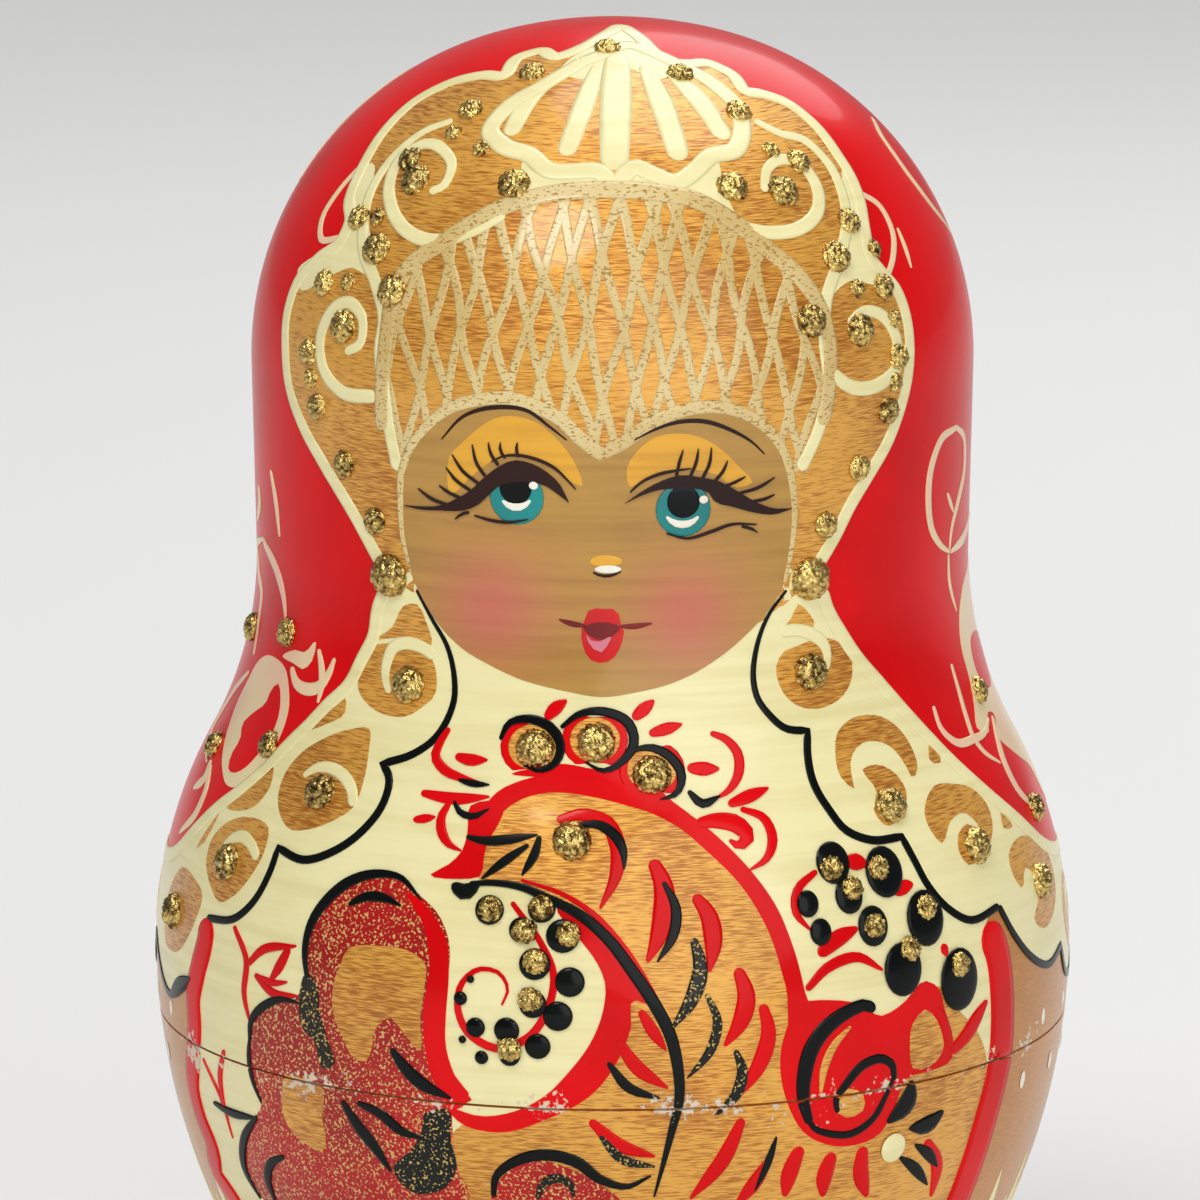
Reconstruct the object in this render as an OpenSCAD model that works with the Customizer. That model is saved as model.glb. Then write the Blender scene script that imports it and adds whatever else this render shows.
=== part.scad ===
// Matryoshka nesting doll: seven turned wooden dolls, each one inside the next.
// All but the smallest part at a seam, where a spigot on the base fits a socket in the top.
// Sizes are those of the largest doll. The others repeat it at a steady ratio.

/* [Outer shape] */
// Height of the doll
doll_height = 150; // [140:0.5:160]
// Radius of the flat underside
base_radius = 29; // [26:0.5:32]
// Bevel round the underside
base_bevel = 1; // [0.5:0.1:2]
// Radius of the body at its widest
body_radius = 46; // [44:0.5:50]
// Height at which the body is widest
body_height = 56.5; // [54:0.5:62]
// Radius of the curve below the widest part
lower_curve = 64; // [54:1:76]
// Radius of the neck at its narrowest
neck_radius = 35.6; // [34.6:0.1:36.4]
// Height of the crown above the narrowest of the neck
head_length = 53; // [48:0.5:58]
// Share of the curve below the neck that is hollow, the rest being the shoulder
neck_share = 0.464; // [0.38:0.004:0.54]
// Radius of the head at its widest
head_radius = 36; // [35:0.1:37]
// Radius of the curve on the side of the head
head_curve = 33; // [31:0.5:34]
// Radius of the curve over the crown
crown_curve = 44; // [41:1:52]

/* [Shell] */
// Thickness of the turned wall
wall = 5; // [3.5:0.1:5.5]
// Thickness of the floor that the next doll stands on
floor_thickness = 6.5; // [4:0.5:10]
// Bevel where the floor meets the wall
floor_bevel = 1.5; // [0.5:0.1:2]

/* [Seam] */
// Height of the seam between the two halves
seam_height = 50.5; // [46:0.5:55]
// Bevel on both edges of the seam, which makes its fine line
seam_bevel = 0.3; // [0.1:0.05:0.6]
// Thickness of the top's rim round the socket
rim_wall = 3.7; // [2.5:0.1:4.5]
// Wall of the spigot
spigot_wall = 3; // [2:0.1:3.6]
// Height of the spigot above the seam
spigot_rise = 10; // [6:0.5:14]
// Bevel on the spigot's leading edge
spigot_bevel = 0.6; // [0.2:0.1:1.2]
// Room left above the spigot in the socket
socket_relief = 0.8; // [0.4:0.1:2]
// Radial clearance between spigot and socket, the same on every doll
fit_clearance = 0.05; // [0.02:0.01:0.1]

/* [Nest] */
// Size of each doll as a share of the one it stands in
nest_ratio = 0.8; // [0.75:0.01:0.81]

/* [Gilded relief beads] */
// Bead at the peak of the headdress: how far below the crown it sits
peak_bead_drop = 1.4; // [1:0.1:3]
// Half the angle that the headdress spans at its widest
headdress_angle = 53; // [48:1:58]
// Height of that widest place above the widest of the head
headdress_rise = 3.5; // [2:0.1:8]
// How squarely the headdress arches over the brow: 1 is an ellipse, less is fuller
headdress_arch = 0.7; // [0.5:0.05:1]
// Extra room beside the peak bead, as a share of the gap between border beads
peak_gap = 0.5; // [0.3:0.1:1]
// Border beads on each side of the arch over the brow
brow_beads = 6; // [4:1:8]
// Border beads on each side from there down to the ear
cheek_beads = 3; // [2:1:5]
// Diameter of a border bead
border_bead = 2.6; // [2:0.1:3.2]
// Diameter of a bead in a headdress scroll
scroll_bead = 3.2; // [2:0.1:3.6]
// Diameter of a small bead between border and scrolls
seed_bead = 1.8; // [1:0.1:2]
// Diameter of an earring bead
earring_bead = 4.2; // [3:0.1:5]
// Angle of each earring from the front
earring_angle = 35; // [31:1:38]
// Depth of the earrings below the widest of the head
earring_drop = 17.1; // [14:0.1:20]
// Diameter of a bead on the collar
collar_bead = 3.6; // [2:0.1:4]
// Diameter of a bead on the scarf
scarf_bead = 2.8; // [2:0.1:3.6]
// Diameter of a bead on the bird's crest
crest_bead = 3.8; // [2:0.1:4.2]
// Diameter of a bead on a berry
berry_bead = 2.4; // [1.6:0.1:2.6]
// Height of a bead as a share of its diameter
bead_fullness = 0.34; // [0.2:0.01:0.45]
// Thickness of the size that bonds a bead to the surface
bead_bond = 0.1; // [0.08:0.01:0.2]

/* [Hidden] */
LEVELS = ["first", "second", "third", "fourth", "fifth", "sixth"];

// Largest turn between two points of a curve, in degrees
arc_step = 4;
$fn = 96;

// Places of single beads: angle from the front, and share of the way from the widest of the
// head to the crown, or from the ears to the seam. They are set by hand, so the sides differ.
scroll_places = [
    [-17, 0.634], [-39, 0.623], [-41.5, 0.429], [-36, 0.319], [-45, 0.202],
    [26, 0.624], [36.5, 0.602], [43, 0.412], [35.5, 0.244], [45, 0.201]];
seed_places = [
    [-27, 0.714], [-36, 0.745], [-44, 0.508], [-46, 0.324], [-52, 0.03],
    [38, 0.705], [52.5, 0.415], [46, 0.315], [53, 0.215], [52, 0.03]];
collar_places = [
    [-30.5, 0.21], [-42, 0.433], [-56.5, 0.606], [-70, 0.751],
    [34.5, 0.184], [43.5, 0.451], [57.5, 0.562], [72.5, 0.681]];
scarf_places = [[-60, 0.163], [-57, 0.377], [-76, 0.428], [-78, 0.194], [76, 0.306], [79, 0.551]];
crest_places = [[-9, 0.31], [0, 0.295], [8, 0.356], [-3, 0.474]];
berry_places = [
    [-13, 0.609], [-6.5, 0.602], [-8.5, 0.647], [-3, 0.65], [-7, 0.705], [-7.5, 0.779], [-10, 0.879],
    [31.5, 0.55], [38.5, 0.563], [34, 0.593], [36.5, 0.669], [45, 0.652], [41.5, 0.725], [49.5, 0.778]];

// The shoulder curve meets the neck curve and is upright at the widest of the body
waist = body_radius - neck_radius;
neck_height = doll_height - head_length;
shoulder_drop = neck_height - body_height;
curve_span = (shoulder_drop * shoulder_drop + waist * waist) / (2 * waist);
neck_curve = neck_share * curve_span;
shoulder_curve = curve_span - neck_curve;
shoulder_angle = atan2(shoulder_drop, curve_span - waist);

// The head's side curve lies inside the crown curve and touches it
head_offset = head_radius - head_curve;
crown_centre = doll_height - crown_curve;
head_height = crown_centre + sqrt(pow(crown_curve - head_curve, 2) - head_offset * head_offset);
crown_angle = atan2(head_height - crown_centre, head_offset);
crown_joint = crown_centre + crown_curve * sin(crown_angle);
head_lean = -atan2(head_radius - neck_radius, head_height - neck_height);

// The foot is a straight taper that touches the lower curve
foot_run = base_radius - body_radius + lower_curve;
foot_drop = body_height - base_bevel;
foot_reach = sqrt(foot_run * foot_run + foot_drop * foot_drop);
foot_lean = atan2(foot_drop, foot_run) - acos(lower_curve / foot_reach);

seam_curve = seam_height < body_height ? lower_curve : shoulder_curve;
seam_radius = body_radius - seam_curve + sqrt(pow(seam_curve, 2) - pow(body_height - seam_height, 2));
socket_radius = seam_radius - rim_wall;
socket_depth = spigot_rise + socket_relief;

earring_height = head_height - earring_drop;

// Size of the doll at a level of the nest, and the height at which it stands
function nest_scale(level) = pow(nest_ratio, level);
function stand_height(level) = floor_thickness * (1 - nest_scale(level)) / (1 - nest_ratio);

// Points along an arc, without the first where the curve before it ends there
function arc(centre, radius, from, to, joined = true) =
    let (steps = ceil(abs(to - from) / arc_step))
    [for (i = [joined ? 1 : 0:steps])
        let (turn = from + (to - from) * i / steps)
        centre + radius * [cos(turn), sin(turn)]];

// Radius of the tapered foot at a height, a wall's thickness inside the surface
function foot_radius(height, inset) =
    base_radius + (height - base_bevel) * tan(foot_lean) - inset / cos(foot_lean);

// The doll's outline from the axis at its foot to the axis at its crown,
// set in from the surface and cut level at the foot
function outline(inset, foot, bevel) = concat(
    [[0, foot]],
    [for (rise = [0, bevel]) [foot_radius(foot + bevel, inset) - bevel + rise, foot + rise]],
    arc([body_radius - lower_curve, body_height], lower_curve - inset, -foot_lean, 0, false),
    arc([body_radius - shoulder_curve, body_height], shoulder_curve - inset, 0, shoulder_angle),
    arc([neck_radius + neck_curve, neck_height], neck_curve + inset, 180 + shoulder_angle, 180),
    arc([head_offset, head_height], head_curve - inset, 0, crown_angle, false),
    arc([0, crown_centre], crown_curve - inset, crown_angle, 90));

// Upward lean of the surface at a height on the top half, and its radius there
function lean_at(height) =
    height > crown_joint ? asin((height - crown_centre) / crown_curve)
    : height > head_height ? asin((height - head_height) / head_curve)
    : height > neck_height ? head_lean
    : height > neck_height - neck_curve * sin(shoulder_angle) ? asin((neck_height - height) / neck_curve)
    : asin((height - body_height) / shoulder_curve);
function radius_at(height) =
    let (lean = lean_at(height))
    height > crown_joint ? crown_curve * cos(lean)
    : height > head_height ? head_offset + head_curve * cos(lean)
    : height > neck_height ? neck_radius - (height - neck_height) * tan(lean)
    : height > neck_height - neck_curve * sin(shoulder_angle) ? neck_radius + neck_curve * (1 - cos(lean))
    : body_radius - shoulder_curve * (1 - cos(lean));

// Angles and heights of beads on the head and below the ears
function on_head(places) =
    [for (place = places) [place[0], head_height + place[1] * (doll_height - head_height)]];
function below_ears(places) =
    [for (place = places) [place[0], earring_height - place[1] * (earring_height - seam_height)]];

// Solid outline of the whole doll, and the hollow turned inside it
module doll_outline() {
    polygon(outline(0, 0, base_bevel));
}

module hollow_outline() {
    polygon(outline(wall, floor_thickness, floor_bevel));
}

// Everything below a height, in the half plane that is turned
module below(height, radius = 2 * body_radius) {
    square([radius, height]);
}

// The bevel cut at the seam, on both sides of it
module seam_groove() {
    polygon([
        [seam_radius - seam_bevel, seam_height],
        [seam_radius + seam_bevel, seam_height - 2 * seam_bevel],
        [seam_radius + seam_bevel, seam_height + 2 * seam_bevel]]);
}

module spigot_outline(clearance) {
    radius = socket_radius - clearance;
    top = seam_height + spigot_rise;
    polygon([
        [0, floor_thickness], [radius, floor_thickness], [radius, top - spigot_bevel],
        [radius - spigot_bevel, top], [0, top]]);
}

module base_outline(clearance) {
    bore = socket_radius - clearance - spigot_wall;
    difference() {
        union() {
            difference() {
                intersection() {
                    doll_outline();
                    below(seam_height);
                }
                seam_groove();
            }
            difference() {
                spigot_outline(clearance);
                below(seam_height - seam_bevel);
            }
        }
        intersection() {
            hollow_outline();
            below(doll_height, bore);
        }
    }
}

module top_outline() {
    difference() {
        doll_outline();
        below(seam_height);
        seam_groove();
        below(seam_height + socket_depth, socket_radius);
        hollow_outline();
    }
}

// Places a doll where it stands in the nest, at its own size
module nested(level) {
    translate([0, 0, stand_height(level)])
        scale(nest_scale(level))
            children();
}

module doll_base(level) {
    color("goldenrod")
        nested(level)
            rotate_extrude()
                base_outline(fit_clearance / nest_scale(level));
}

module doll_top(level) {
    color("crimson")
        nested(level)
            rotate_extrude()
                top_outline();
}

// The smallest doll is turned in one piece
module seventh_doll() {
    color("crimson")
        nested(len(LEVELS))
            rotate_extrude()
                doll_outline();
}

// A domed bead on the surface, at an angle from the front and a height
module bead(angle, height, diameter) {
    rise = bead_fullness * diameter;
    ball = (diameter * diameter / 4 + rise * rise) / (2 * rise);
    rotate([0, 0, angle])
        translate([0, -radius_at(height), height])
            rotate([90 - lean_at(height), 0, 0])
                translate([0, 0, bead_bond])
                    rotate_extrude()
                        intersection() {
                            translate([0, rise - ball])
                                circle(ball);
                            square(diameter);
                        }
}

module beads(places, diameter) {
    for (place = places)
        bead(place[0], place[1], diameter);
}

module mirrored_beads(places, diameter) {
    beads(places, diameter);
    beads([for (place = places) [-place[0], place[1]]], diameter);
}

// The border arches from the peak to the widest place and draws in from there to the ears
module headdress_border_beads() {
    widest = head_height + headdress_rise;
    reach = doll_height - peak_bead_drop - widest;
    drop = widest - earring_height;
    brow = [for (i = [1:brow_beads])
        let (turn = 90 * (i + peak_gap) / (brow_beads + peak_gap))
        [headdress_angle * pow(sin(turn), headdress_arch), widest + reach * cos(turn)]];
    cheek = [for (i = [1:cheek_beads])
        let (share = i / (cheek_beads + 1), narrowing = (1 - cos(180 * share)) / 2)
        [headdress_angle + (earring_angle - headdress_angle) * narrowing, widest - share * drop]];
    color("gold") {
        bead(0, doll_height - peak_bead_drop, border_bead);
        mirrored_beads(concat(brow, cheek), border_bead);
    }
}

module headdress_scroll_beads() {
    color("gold")
        beads(on_head(scroll_places), scroll_bead);
}

module headdress_seed_beads() {
    color("gold")
        beads(on_head(seed_places), seed_bead);
}

module earring_beads() {
    color("gold")
        mirrored_beads([[earring_angle, earring_height]], earring_bead);
}

module collar_beads() {
    color("gold")
        beads(below_ears(collar_places), collar_bead);
}

module scarf_beads() {
    color("gold")
        beads(below_ears(scarf_places), scarf_bead);
}

module bird_crest_beads() {
    color("gold")
        beads(below_ears(crest_places), crest_bead);
}

module berry_beads() {
    color("gold")
        beads(below_ears(berry_places), berry_bead);
}

for (level = [0:len(LEVELS) - 1]) {
    doll_base(level);
    doll_top(level);
}
seventh_doll();
headdress_border_beads();
headdress_scroll_beads();
headdress_seed_beads();
earring_beads();
collar_beads();
scarf_beads();
bird_crest_beads();
berry_beads();
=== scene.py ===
"""Matryoshka nesting doll: lacquered halves, brush-painted dress and gilded relief on the turned frame."""
import logging
import math
from dataclasses import dataclass, field
from enum import Enum
from functools import cache

import bmesh
import bpy
import numpy as np
from bpy.types import Material, Mesh, Node, NodeSocket, NodeTree, Object
from mathutils import Matrix, Vector
from mathutils.geometry import delaunay_2d_cdt


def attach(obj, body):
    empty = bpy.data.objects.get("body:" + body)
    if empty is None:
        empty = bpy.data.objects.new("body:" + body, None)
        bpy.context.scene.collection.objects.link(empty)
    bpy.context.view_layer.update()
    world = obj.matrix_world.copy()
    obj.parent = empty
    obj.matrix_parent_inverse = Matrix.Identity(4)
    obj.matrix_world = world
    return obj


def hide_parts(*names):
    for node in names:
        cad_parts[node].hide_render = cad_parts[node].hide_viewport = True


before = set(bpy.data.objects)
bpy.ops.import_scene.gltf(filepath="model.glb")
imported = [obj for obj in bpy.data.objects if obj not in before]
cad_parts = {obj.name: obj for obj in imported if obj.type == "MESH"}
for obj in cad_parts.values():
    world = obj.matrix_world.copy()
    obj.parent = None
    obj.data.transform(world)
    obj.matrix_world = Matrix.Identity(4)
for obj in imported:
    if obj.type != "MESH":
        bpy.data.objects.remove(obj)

logging.basicConfig(level=logging.INFO, format="%(message)s")
LOG = logging.getLogger("matryoshka")

MM = 0.001
IMAGE_SIDE_PX = 1200
LEVELS = ("first", "second", "third", "fourth", "fifth", "sixth")
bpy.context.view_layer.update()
Shapes = tuple[tuple[float, ...], ...]


class Paint(Enum):
    """Paints and bare surfaces of the dolls, by the names of their materials."""

    SCARLET = "scarlet_lacquer"
    GLITTER = "glittered_scarlet"
    CREAM = "cream_tempera"
    AMBER = "amber_gold_paint"
    OCHRE = "ochre_ground"
    NET = "gold_flecked_cream"
    THIN = "cream_over_red"
    DUSTED = "dusted_black"
    BLACK = "black_green_line"
    FACE = "blushed_limewood"
    WOOD = "turned_limewood"
    LID = "brown_eyelid"
    SHADOW = "yellow_eyeshadow"
    IRIS = "teal_iris"
    WHITE = "white_touch"
    LIP = "lip_red"
    WINE = "wine_shadow"
    ROSE = "rose_touch"
    GILT = "gold_leaf"


class Half(Enum):
    """The two halves of a doll that parts at its seam."""

    TOP = "top"
    BASE = "base"


class Grain(Enum):
    """Ways in which the texture of a surface runs."""

    LACQUER = (60.0, 60.0, 60.0)
    TURNED = (45.0, 45.0, 900.0)
    BRUSHED = (650.0, 650.0, 8400.0)
    LEAF = (1700.0, 1700.0, 1700.0)
    GLINT = (3600.0, 3600.0, 3600.0)
    DASH = (2000.0, 2000.0, 5200.0)
    CLOUD = (90.0, 90.0, 90.0)
    CHIP = (120.0, 120.0, 160.0)
    GRIT = (1500.0, 1500.0, 1500.0)


def linked(name: str, data: bpy.types.ID) -> Object:
    """Makes an object of some data and links it into the scene."""
    made = bpy.data.objects.new(name, data)
    bpy.context.scene.collection.objects.link(made)
    return made


def store(mesh: Mesh, name: str, values: np.ndarray) -> None:
    """Stores a number or a vector for each point of a mesh."""
    kind, key = ("FLOAT", "value") if np.ndim(values) == 1 else ("FLOAT_VECTOR", "vector")
    mesh.attributes.new(name, kind, "POINT").data.foreach_set(key, np.asarray(values, np.float32).ravel())


class Wiring:
    """Adds nodes to a tree and joins their sockets."""

    def __init__(self, tree: NodeTree) -> None:
        """Keeps the tree that the nodes go into."""
        self.tree = tree

    def node(self, kind: str, inputs: dict | None = None, **settings: object) -> Node:
        """Adds one node.

        Args:
            kind: Type name of the node.
            inputs: Values or output sockets for its inputs, by name or position.
            settings: Properties of the node itself.

        Returns:
            The new node.
        """
        made = self.tree.nodes.new(kind)
        for name, value in settings.items():
            setattr(made, name, value)
        for key, value in (inputs or {}).items():
            if isinstance(value, NodeSocket):
                self.tree.links.new(value, made.inputs[key])
            else:
                made.inputs[key].default_value = value
        return made

    def math(self, operation: str, *values: object) -> NodeSocket:
        """Adds a Math node and returns its result."""
        return self.node("ShaderNodeMath", dict(enumerate(values)), operation=operation).outputs[0]

    def vector(self, operation: str, *values: object) -> NodeSocket:
        """Adds a Vector Math node and returns its result."""
        made = self.node("ShaderNodeVectorMath", dict(enumerate(values)), operation=operation)
        return made.outputs["Value" if operation in ("DOT_PRODUCT", "LENGTH") else "Vector"]

    def scaled(self, vector: NodeSocket, factor: object) -> NodeSocket:
        """Multiplies a vector by a number and returns the result."""
        return self.node("ShaderNodeVectorMath", {0: vector, "Scale": factor},
                         operation="SCALE").outputs[0]

    def mix(self, factor: object, first: object, second: object) -> NodeSocket:
        """Mixes two colours by the share of the second and returns the result."""
        return self.node("ShaderNodeMix", {0: factor, 6: first, 7: second}, data_type="RGBA").outputs[2]

    def blend(self, share: float, first: NodeSocket, second: NodeSocket) -> NodeSocket:
        """Adds two numbers, the second by its share and the first by the rest."""
        rest = self.math("MULTIPLY", first, 1 - share)
        return self.math("ADD", rest, self.math("MULTIPLY", second, share))

    def ramp(self, value: object, low: float, high: float) -> NodeSocket:
        """Maps a value smoothly from low to high onto 0 to 1."""
        return self.node("ShaderNodeMapRange", {0: value, 1: low, 2: high},
                         interpolation_type="SMOOTHSTEP").outputs[0]


def linear(colour: str) -> tuple[float, float, float, float]:
    """Turns six hexadecimal digits into linear red, green and blue, with full alpha."""
    shares = [int(colour[i:i + 2], 16) / 255 for i in (0, 2, 4)]
    return tuple(c / 12.92 if c <= 0.04045 else ((c + 0.055) / 1.055) ** 2.4 for c in shares) + (1.0,)


@dataclass(frozen=True)
class Finish:
    """One paint or bare surface, and how its material is made."""

    colour: str
    shade: str
    grain: Grain = Grain.LACQUER
    roughness: float = 0.34
    metallic: float = 0.0
    coat: float = 0.4
    specular: float = 0.3
    relief_mm: float = 0.02
    mottle: float = 0.6
    wear: float = 1.0
    fleck: str = ""
    fleck_grain: Grain = Grain.GLINT
    fleck_from: float = 0.6
    CLOUD_SHARE, TONE_DOWN, TONE_UP, FLECK_SOFT = 0.3, 0.2, 0.35, 0.05
    BUMP_STRENGTH, COAT_ROUGHNESS, BLUSH = 0.5, 0.09, "C8605A"
    CHIPPED_GROUND, CHIP_REACH_MM, CHIP_PULL, GRIT_SHARE = "D9C7B0", 4.5, 0.2, 0.45
    CHIP_FROM, CHIP_TO = 0.74, 0.79

    def material(self, paint: Paint) -> Material:
        """Builds the material.

        Args:
            paint: The paint that the material is named after.

        Returns:
            The finished material.
        """
        made = bpy.data.materials.new(paint.value)
        made.use_nodes = True
        wiring = Wiring(made.node_tree)
        shader = next(n for n in made.node_tree.nodes if n.type == "BSDF_PRINCIPLED")
        place = wiring.node("ShaderNodeTexCoord").outputs["Object"]
        grain = self.noise(wiring, place, self.grain, 4.0)
        cloud = self.noise(wiring, place, Grain.CLOUD, 3.0)
        blend = wiring.blend(self.CLOUD_SHARE, grain, cloud)
        # Mottles the second colour in by noise; on the gold leaf that very dark colour is painted shade
        # standing in for the creases of the crinkled leaf
        tone_and_crease_shade = wiring.ramp(blend, 0.5 - self.TONE_DOWN * self.mottle, 0.5 + self.TONE_UP * self.mottle)
        colour = wiring.mix(tone_and_crease_shade, linear(self.colour), linear(self.shade))
        if paint is Paint.FACE:
            blush = wiring.node("ShaderNodeAttribute", attribute_name="blush").outputs["Fac"]
            colour = wiring.mix(blush, colour, linear(self.BLUSH))
        if self.fleck:
            flecks = self.noise(wiring, place, self.fleck_grain, 1.0)
            dust = wiring.ramp(flecks, self.fleck_from, self.fleck_from + self.FLECK_SOFT)
            colour = wiring.mix(dust, colour, linear(self.fleck))
        height = grain
        if self.wear > 0:
            chips = self.worn(wiring, place)
            colour = wiring.mix(chips, colour, linear(self.CHIPPED_GROUND))
            height = wiring.math("SUBTRACT", grain, chips)
        wiring.tree.links.new(colour, shader.inputs["Base Color"])
        bump = wiring.node("ShaderNodeBump", {"Strength": self.BUMP_STRENGTH, "Distance": self.relief_mm * MM,
                                              "Height": height})
        wiring.tree.links.new(bump.outputs[0], shader.inputs["Normal"])
        for name, value in (("Roughness", self.roughness), ("Metallic", self.metallic),
                            ("Specular IOR Level", self.specular), ("Coat Weight", self.coat),
                            ("Coat Roughness", self.COAT_ROUGHNESS)):
            shader.inputs[name].default_value = value
        return made

    @staticmethod
    def noise(wiring: Wiring, place: NodeSocket, grain: Grain, detail: float) -> NodeSocket:
        """Adds noise over the surface.

        Args:
            wiring: Tree to add it to.
            place: Coordinates that it reads.
            grain: Steps of the noise to the metre, on each axis.
            detail: Octaves of the noise.

        Returns:
            The noise as a number from 0 to 1.
        """
        spread = wiring.node("ShaderNodeMapping", {"Vector": place, "Scale": grain.value}).outputs[0]
        given = {"Vector": spread, "Scale": 1.0, "Detail": detail}
        return wiring.node("ShaderNodeTexNoise", given).outputs[0]

    def worn(self, wiring: Wiring, place: NodeSocket) -> NodeSocket:
        """Marks where the paint has chipped beside the seam.

        Args:
            wiring: Tree to add it to.
            place: Coordinates that the chips follow.

        Returns:
            1 where the ground shows, 0 where the paint is whole.
        """
        gap = wiring.node("ShaderNodeAttribute", attribute_name="seam_gap").outputs["Fac"]
        pull = {0: gap, 1: 0.0, 2: self.CHIP_REACH_MM, 3: self.CHIP_PULL, 4: 0.0}
        near = wiring.node("ShaderNodeMapRange", pull).outputs[0]
        patches = self.noise(wiring, place, Grain.CHIP, 1.0)
        chips = wiring.blend(self.GRIT_SHARE, patches, self.noise(wiring, place, Grain.GRIT, 2.0))
        marked = wiring.math("ADD", chips, wiring.math("MULTIPLY", near, self.wear))
        return wiring.ramp(marked, self.CHIP_FROM, self.CHIP_TO)


FINISHES: dict[Paint, Finish] = {
    Paint.SCARLET: Finish("DE0108", "C80106", roughness=0.28, coat=0.2, specular=0.06),
    Paint.GLITTER: Finish("B80E14", "8A1012", coat=0.3, specular=0.2, mottle=0.7,
                          fleck="D2A965", fleck_from=0.57),
    Paint.CREAM: Finish("EFE6AF", "E4D99C", Grain.TURNED, relief_mm=0.03),
    Paint.AMBER: Finish("E6AA48", "AE661C", Grain.BRUSHED, 0.32, 0.3, relief_mm=0.2, mottle=0.35),
    Paint.OCHRE: Finish("C6842F", "AE6F26", Grain.BRUSHED, 0.36, 0.2, relief_mm=0.04),
    Paint.NET: Finish("DEC88E", "C4A460", relief_mm=0.12,
                      fleck="A9813A", fleck_grain=Grain.DASH, fleck_from=0.59),
    Paint.DUSTED: Finish("0C1410", "222018", coat=0.3, specular=0.1, fleck="C9A860", fleck_from=0.6),
    Paint.THIN: Finish("EBD7A6", "EDA99A", relief_mm=0.03, mottle=0.8),
    Paint.BLACK: Finish("030605", "0A120D", roughness=0.25, coat=0.15, specular=0.1, wear=0.7),
    Paint.FACE: Finish("B88C40", "9E7432", Grain.TURNED, 0.42, relief_mm=0.03, mottle=0.8),
    Paint.WOOD: Finish("D9B983", "C09A60", Grain.TURNED, 0.6, coat=0.0, relief_mm=0.05, wear=0.0),
    Paint.LID: Finish("2E1714", "241210", coat=0.0, specular=0.2, wear=0.0),
    Paint.SHADOW: Finish("E4A72C", "CE9226", Grain.TURNED, wear=0.0),
    Paint.IRIS: Finish("0A8A86", "076A6C", specular=0.25, wear=0.0),
    Paint.WHITE: Finish("F2EEDF", "E2DCC8", wear=0.0),
    Paint.LIP: Finish("D4060C", "BC0408", specular=0.25, wear=0.0),
    Paint.WINE: Finish("800408", "640206", specular=0.2, wear=0.0),
    Paint.ROSE: Finish("DC8492", "C66C7C", wear=0.0),
    # Gold leaf: its dark second colour is painted shade of the leaf's creases, mottled in by noise
    Paint.GILT: Finish("DDBE70", "4A3410", Grain.LEAF, 0.24, 1.0,
                       coat=0.1, relief_mm=0.3, mottle=0.45, wear=0.0),
}


@cache
def material_of(paint: Paint) -> Material:
    """Returns the material of a paint, which is made once."""
    return FINISHES[paint].material(paint)


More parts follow.
